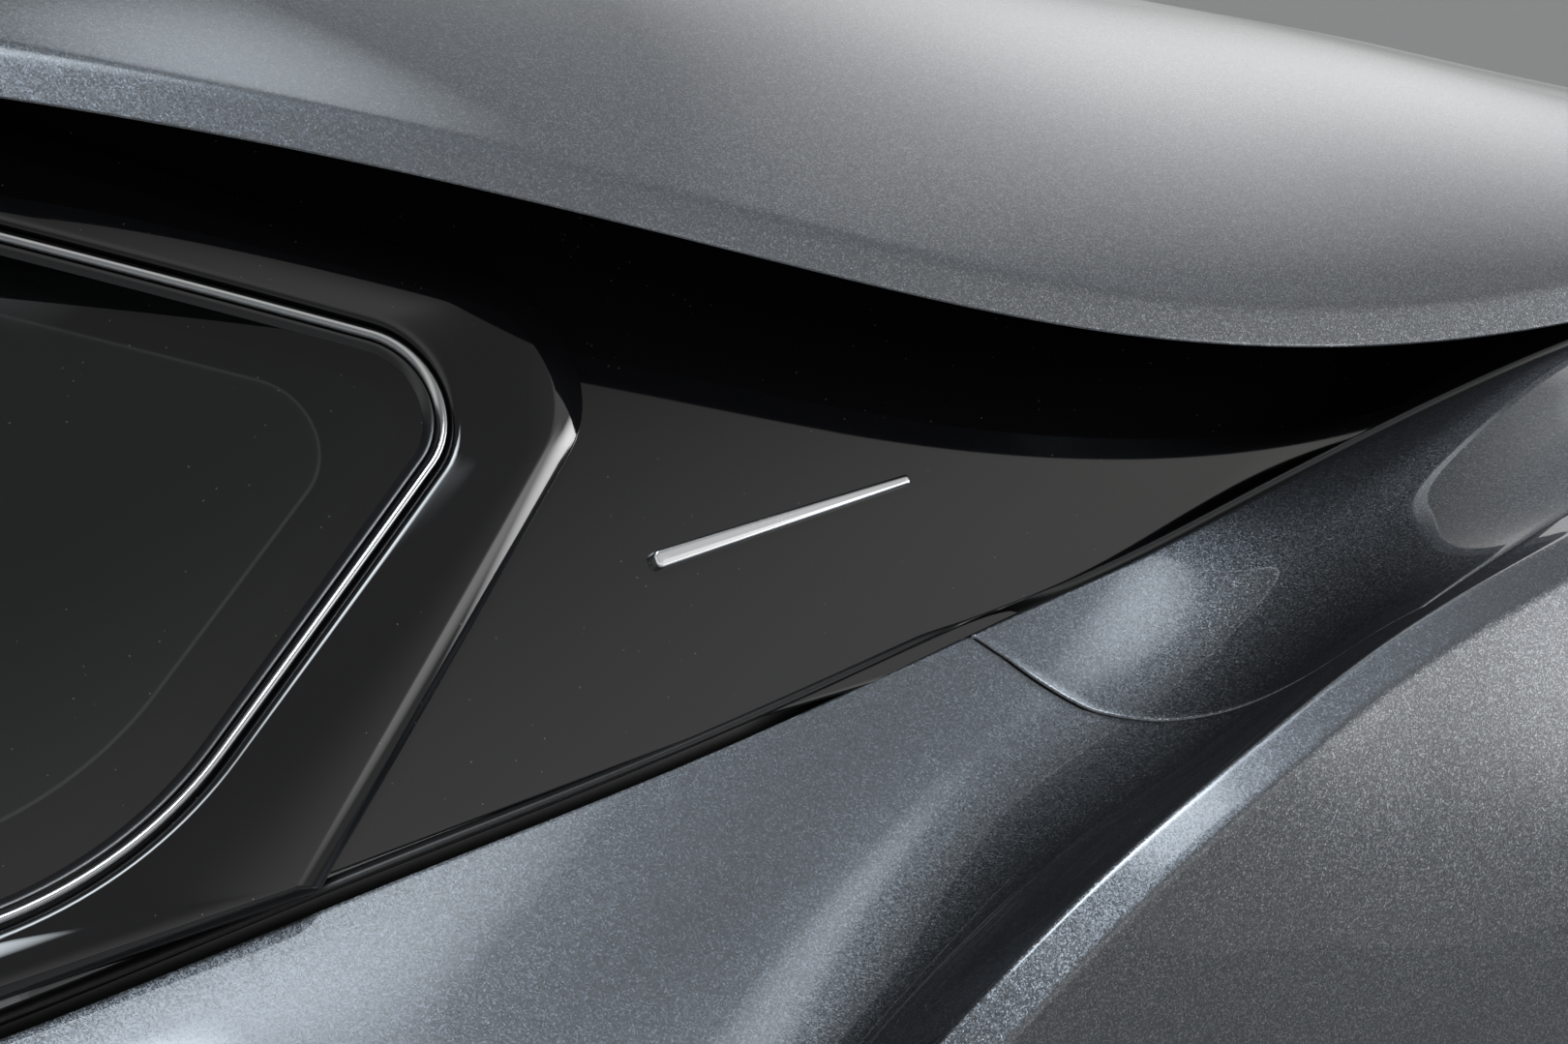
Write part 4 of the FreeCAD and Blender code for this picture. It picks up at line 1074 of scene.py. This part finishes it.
# %% Material helpers
def new_group(name, inputs, outputs):
    """A shader node group with number sockets. inputs gives names and values, outputs names."""
    group = bpy.data.node_groups.new(name, "ShaderNodeTree")
    for socket, value in inputs.items():
        entry = group.interface.new_socket(socket, in_out="INPUT", socket_type="NodeSocketFloat")
        entry.default_value = value
    for socket in outputs:
        group.interface.new_socket(socket, in_out="OUTPUT", socket_type="NodeSocketFloat")
    return group, group.nodes.new("NodeGroupInput").outputs, group.nodes.new("NodeGroupOutput")


def texture(tree, kind, inputs, **settings):
    """A texture or mapping node that reads Object coordinates."""
    coords = add(tree, "TexCoord").outputs["Object"]
    return add(tree, kind, {"Vector": coords, **inputs}, **settings)


def place_group(tree, group, inputs):
    """The outputs of a node group in a material, its inputs set by name."""
    node = tree.nodes.new("ShaderNodeGroup")
    node.node_tree = group
    for key, value in inputs.items():
        feed(tree, node.inputs[key], value)
    return node.outputs


def new_material(name, **values):
    """A material, its node tree, and its Principled shader with sockets set by name."""
    material = bpy.data.materials.new(name)
    material.use_nodes = True
    tree = material.node_tree
    shader = tree.nodes["Principled BSDF"]
    for key, value in values.items():
        shader.inputs[key.replace("_", " ")].default_value = value
    return material, tree, shader


def dress(piece, material):
    """The piece, new or from the CAD model, wears one material."""
    piece.data.materials.clear()
    piece.data.materials.append(material)


print("material helpers ready")

# %% [markdown]
# The sparkle of metallic paint comes from aluminium flakes, here just under half a millimetre wide,
# each tilted its own way. Voronoi cells stand for the flakes: the cell's random colour tilts the
# normal and changes the brightness.

# %% Flake group
flake_group, g_in, g_out = new_group("metal_flake", {"Scale": 2600.0, "Tilt": 0.12}, ["Sparkle"])
for direction in ("INPUT", "OUTPUT"):
    flake_group.interface.new_socket("Normal", in_out=direction, socket_type="NodeSocketVector")
cells = texture(flake_group, "TexVoronoi", {"Scale": g_in["Scale"]}, feature="F1")
lean = add(flake_group, "VectorMath", {0: cells.outputs["Color"], 1: (0.5, 0.5, 0.5)},
           operation="SUBTRACT")
lean = add(flake_group, "VectorMath", {0: lean.outputs[0], "Scale": g_in["Tilt"]}, operation="SCALE")
lean = add(flake_group, "VectorMath", {0: lean.outputs[0], 1: g_in["Normal"]}, operation="ADD")
lean = add(flake_group, "VectorMath", {0: lean.outputs[0]}, operation="NORMALIZE")
feed(flake_group, g_out.inputs["Normal"], lean.outputs[0])
split = add(flake_group, "SeparateColor", {0: cells.outputs["Color"]})
feed(flake_group, g_out.inputs["Sparkle"], split.outputs[0])
print("sockets:", [socket.name for socket in flake_group.interface.items_tree])

# %% [markdown]
# Fine scratches and a little dust keep gloss surfaces from looking like a computer's. Scratches
# are noise stretched along one direction, in patches. Dust is the small middles of a few cells.

# %% Wear groups
DUST_SHARE, SPECK_RADIUS = 0.04, 0.28
scratch_group, g_in, g_out = new_group("fine_scratches", {"Scale": 90.0, "Turn": 0.6}, ["Mask"])
turn_vector = add(scratch_group, "CombineXYZ", {1: g_in["Turn"]})
mapping = texture(scratch_group, "Mapping", {
    "Scale": (1.0, 14.0, 14.0), "Rotation": turn_vector.outputs[0]})
streaks = add(scratch_group, "TexNoise", {
    "Vector": mapping.outputs[0], "Scale": g_in["Scale"], "Detail": 6.0, "Roughness": 0.7})
patches = texture(scratch_group, "TexNoise", {"Scale": 14.0, "Detail": 2.0})
masks = [add(scratch_group, "MapRange", {"Value": noise.outputs[0], "From Min": low, "From Max": high})
         for noise, low, high in ((streaks, 0.55, 0.75), (patches, 0.42, 0.62))]
mask = math_node(scratch_group, "MULTIPLY", masks[0].outputs[0], masks[1].outputs[0])
feed(scratch_group, g_out.inputs["Mask"], mask)

dust_group, g_in, g_out = new_group("dust_specks", {"Scale": 900.0, "Amount": 0.5}, ["Mask"])
specks = texture(dust_group, "TexVoronoi", {"Scale": g_in["Scale"], "Randomness": 1.0}, feature="F1")
split = add(dust_group, "SeparateColor", {0: specks.outputs["Color"]})
limit = math_node(dust_group, "MULTIPLY", g_in["Amount"], DUST_SHARE)
rare = math_node(dust_group, "LESS_THAN", split.outputs[0], limit)
small = math_node(dust_group, "LESS_THAN", specks.outputs["Distance"], SPECK_RADIUS)
feed(dust_group, g_out.inputs["Mask"], math_node(dust_group, "MULTIPLY", rare, small))
print("groups:", sorted(group.name for group in bpy.data.node_groups))

# %% [markdown]
# ## Body paint
# Dark grey metallic under clear coat. The metal layer is rough and takes its colour from what is
# bright around it; the coat on top mirrors the room sharply.

# %% Body paint
paint, tree, shader = new_material(
    "grey_metallic_paint", Metallic=0.95, Roughness=0.40, Coat_Weight=1.0, Coat_Roughness=0.02,
    Coat_IOR=1.5, Specular_Tint=(0.35, 0.36, 0.38, 1))
normal = add(tree, "NewGeometry").outputs["Normal"]
flakes = place_group(tree, flake_group, {"Scale": 2200.0, "Tilt": 0.26, "Normal": normal})
feed(tree, shader.inputs["Normal"], flakes["Normal"])
drift = texture(tree, "TexNoise", {"Scale": 6.0, "Detail": 2.0}).outputs[0]
base = colour_mix(tree, drift, (0.088, 0.095, 0.107), (0.100, 0.108, 0.121))
glint = math_node(tree, "POWER", flakes["Sparkle"], 4.0)
feed(tree, shader.inputs["Base Color"], colour_mix(tree, glint, base, (0.21, 0.22, 0.235)))
print("paint nodes:", len(tree.nodes))

# %% [markdown]
# ## Gloss black and glass
# Piano black plastic has nearly no colour of its own: it is a sharp mirror of the room, with faint
# scratches that show where it is bright. The privacy glass is dark, with a printed border whose
# edge shows as a thin paler line. Dust lies on both.


# %% Gloss black and tinted glass
def dusted(tree, shader, scale, amount, colour, dust_colour, rough, dust_rough):
    """Puts dust specks over a colour and a roughness, each a value or a socket."""
    dust = place_group(tree, dust_group, {"Scale": scale, "Amount": amount})[0]
    feed(tree, shader.inputs["Base Color"], colour_mix(tree, dust, colour, dust_colour))
    feed(tree, shader.inputs["Roughness"], math_node(tree, "MULTIPLY_ADD", dust, dust_rough, rough))


black, tree, shader = new_material("gloss_black_plastic", IOR=1.5)
wear = place_group(tree, scratch_group, {"Scale": 60.0, "Turn": 0.7})[0]
worn = math_node(tree, "MULTIPLY_ADD", wear, 0.10, 0.04)
dusted(tree, shader, 1500.0, 0.06, (0.006, 0.006, 0.007), (0.30, 0.29, 0.27), worn, 0.5)

glass, tree, shader = new_material("privacy_glass", IOR=1.5, Transmission_Weight=0.6)
border = add(tree, "Attribute", attribute_name="inset").outputs["Fac"]
border = add(tree, "MapRange", {"Value": border, "From Min": -2.0, "From Max": 2.0}).outputs[0]
PRINT, LINE, TINT = (0.007, 0.008, 0.008), (0.055, 0.058, 0.056), (0.012, 0.014, 0.014)
printed = colour_ramp(tree, border, [(0.30, PRINT), (0.70, TINT), (0.42, LINE), (0.58, LINE)])
dusted(tree, shader, 1300.0, 0.07, printed, (0.30, 0.30, 0.28), 0.02, 0.4)
print("glass nodes:", len(tree.nodes))

# %% [markdown]
# ## Mottled finishes
# The other finishes share one recipe: a texture runs the colour from dark to light, and may change
# the roughness and raise a fine bump. Rubber is dull and slightly uneven, bright trim is brushed,
# inner steel wears grey primer, and the arch liner is grained plastic.


# %% Mottled finishes
def mottled(name, kind, inputs, dark, light, rough=None, bump=None, **values):
    """A material whose colour runs from dark to light by a texture node of this kind, or by the
    scratch group if kind is None. rough is (gain, start) of the roughness, and bump is
    (strength, distance)."""
    material, tree, shader = new_material(name, **values)
    if kind:
        factor = texture(tree, kind, inputs).outputs[0]
    else:
        factor = place_group(tree, scratch_group, inputs)[0]
    feed(tree, shader.inputs["Base Color"], colour_mix(tree, factor, dark, light))
    if rough:
        feed(tree, shader.inputs["Roughness"], math_node(tree, "MULTIPLY_ADD", factor, *rough))
    if bump:
        raised = add(tree, "Bump", {"Strength": bump[0], "Distance": bump[1], "Height": factor})
        feed(tree, shader.inputs["Normal"], raised.outputs[0])
    return material


satin_black = mottled(
    "satin_black_side", "TexNoise", {"Scale": 900.0, "Detail": 3.0},
    (0.010, 0.010, 0.011), (0.022, 0.022, 0.024), bump=(0.08, 0.0002), Roughness=0.28, IOR=1.5)
rubber = mottled(
    "seal_rubber", "TexNoise", {"Scale": 1200.0, "Detail": 2.0},
    (0.005, 0.005, 0.005), (0.012, 0.012, 0.013), rough=(0.2, 0.22), IOR=1.5)
bright = mottled(
    "satin_bright_metal", None, {"Scale": 220.0, "Turn": 0.0},
    (0.72, 0.73, 0.75), (0.86, 0.87, 0.89), rough=(0.12, 0.24), Metallic=1.0)
bead_metal = mottled(
    "satin_dark_metal", None, {"Scale": 160.0, "Turn": 0.0},
    (0.42, 0.43, 0.44), (0.58, 0.59, 0.60), rough=(0.12, 0.2), Metallic=1.0)
primer = mottled(
    "grey_primer", "TexNoise", {"Scale": 35.0, "Detail": 6.0},
    (0.24, 0.245, 0.25), (0.33, 0.335, 0.34), rough=(0.25, 0.4), Specular_IOR_Level=0.4)
plastic = mottled(
    "grained_plastic", "TexVoronoi", {"Scale": 700.0},
    (0.02, 0.02, 0.021), (0.035, 0.035, 0.037), bump=(0.3, 0.0004), Roughness=0.6)
floor_paint = mottled(
    "pale_floor", "TexNoise", {"Scale": 40.0, "Detail": 4.0},
    (0.58, 0.58, 0.57), (0.64, 0.64, 0.63), Roughness=0.7)
print("materials:", sorted(material.name for material in bpy.data.materials))

# %% Dress the pieces
WORN = {
    "fender": paint, "channel_panel": paint, "buttress": paint, "window_frame_face": black,
    "pillar_panel": black, "window_bead": bead_metal, "window_seal_lip": satin_black,
    "quarter_glass_pane": glass, "belt_seal_lip": rubber, "bright_bar": bright,
}
for name, material in WORN.items():
    dress(made[name], material)
FINISHES = {"body_paint": paint, "gloss_black": plastic, "bright_trim": bright,
            "rubber_seal": rubber, "tinted_glass": glass, "inner_steel": primer,
            "liner_plastic": plastic}
for part in frame["record"]["subparts"]:
    dress(frame["nodes"][part["node"]], FINISHES[part["material_slot"]])
print("dressed:", len(made), "new pieces and", len(frame["nodes"]), "CAD nodes")

# %% [markdown]
# ## Floor
# A plain pale floor a little below the section catches its shadow and its reflections.

# %% Floor
FLOOR_SIZE, FLOOR_Z = 14, -0.75
bpy.ops.mesh.primitive_plane_add(size=FLOOR_SIZE, location=(0, 0, FLOOR_Z))
floor = bpy.context.object
floor.name = "floor"
dress(floor, floor_paint)
print("floor at", FLOOR_Z, "m")
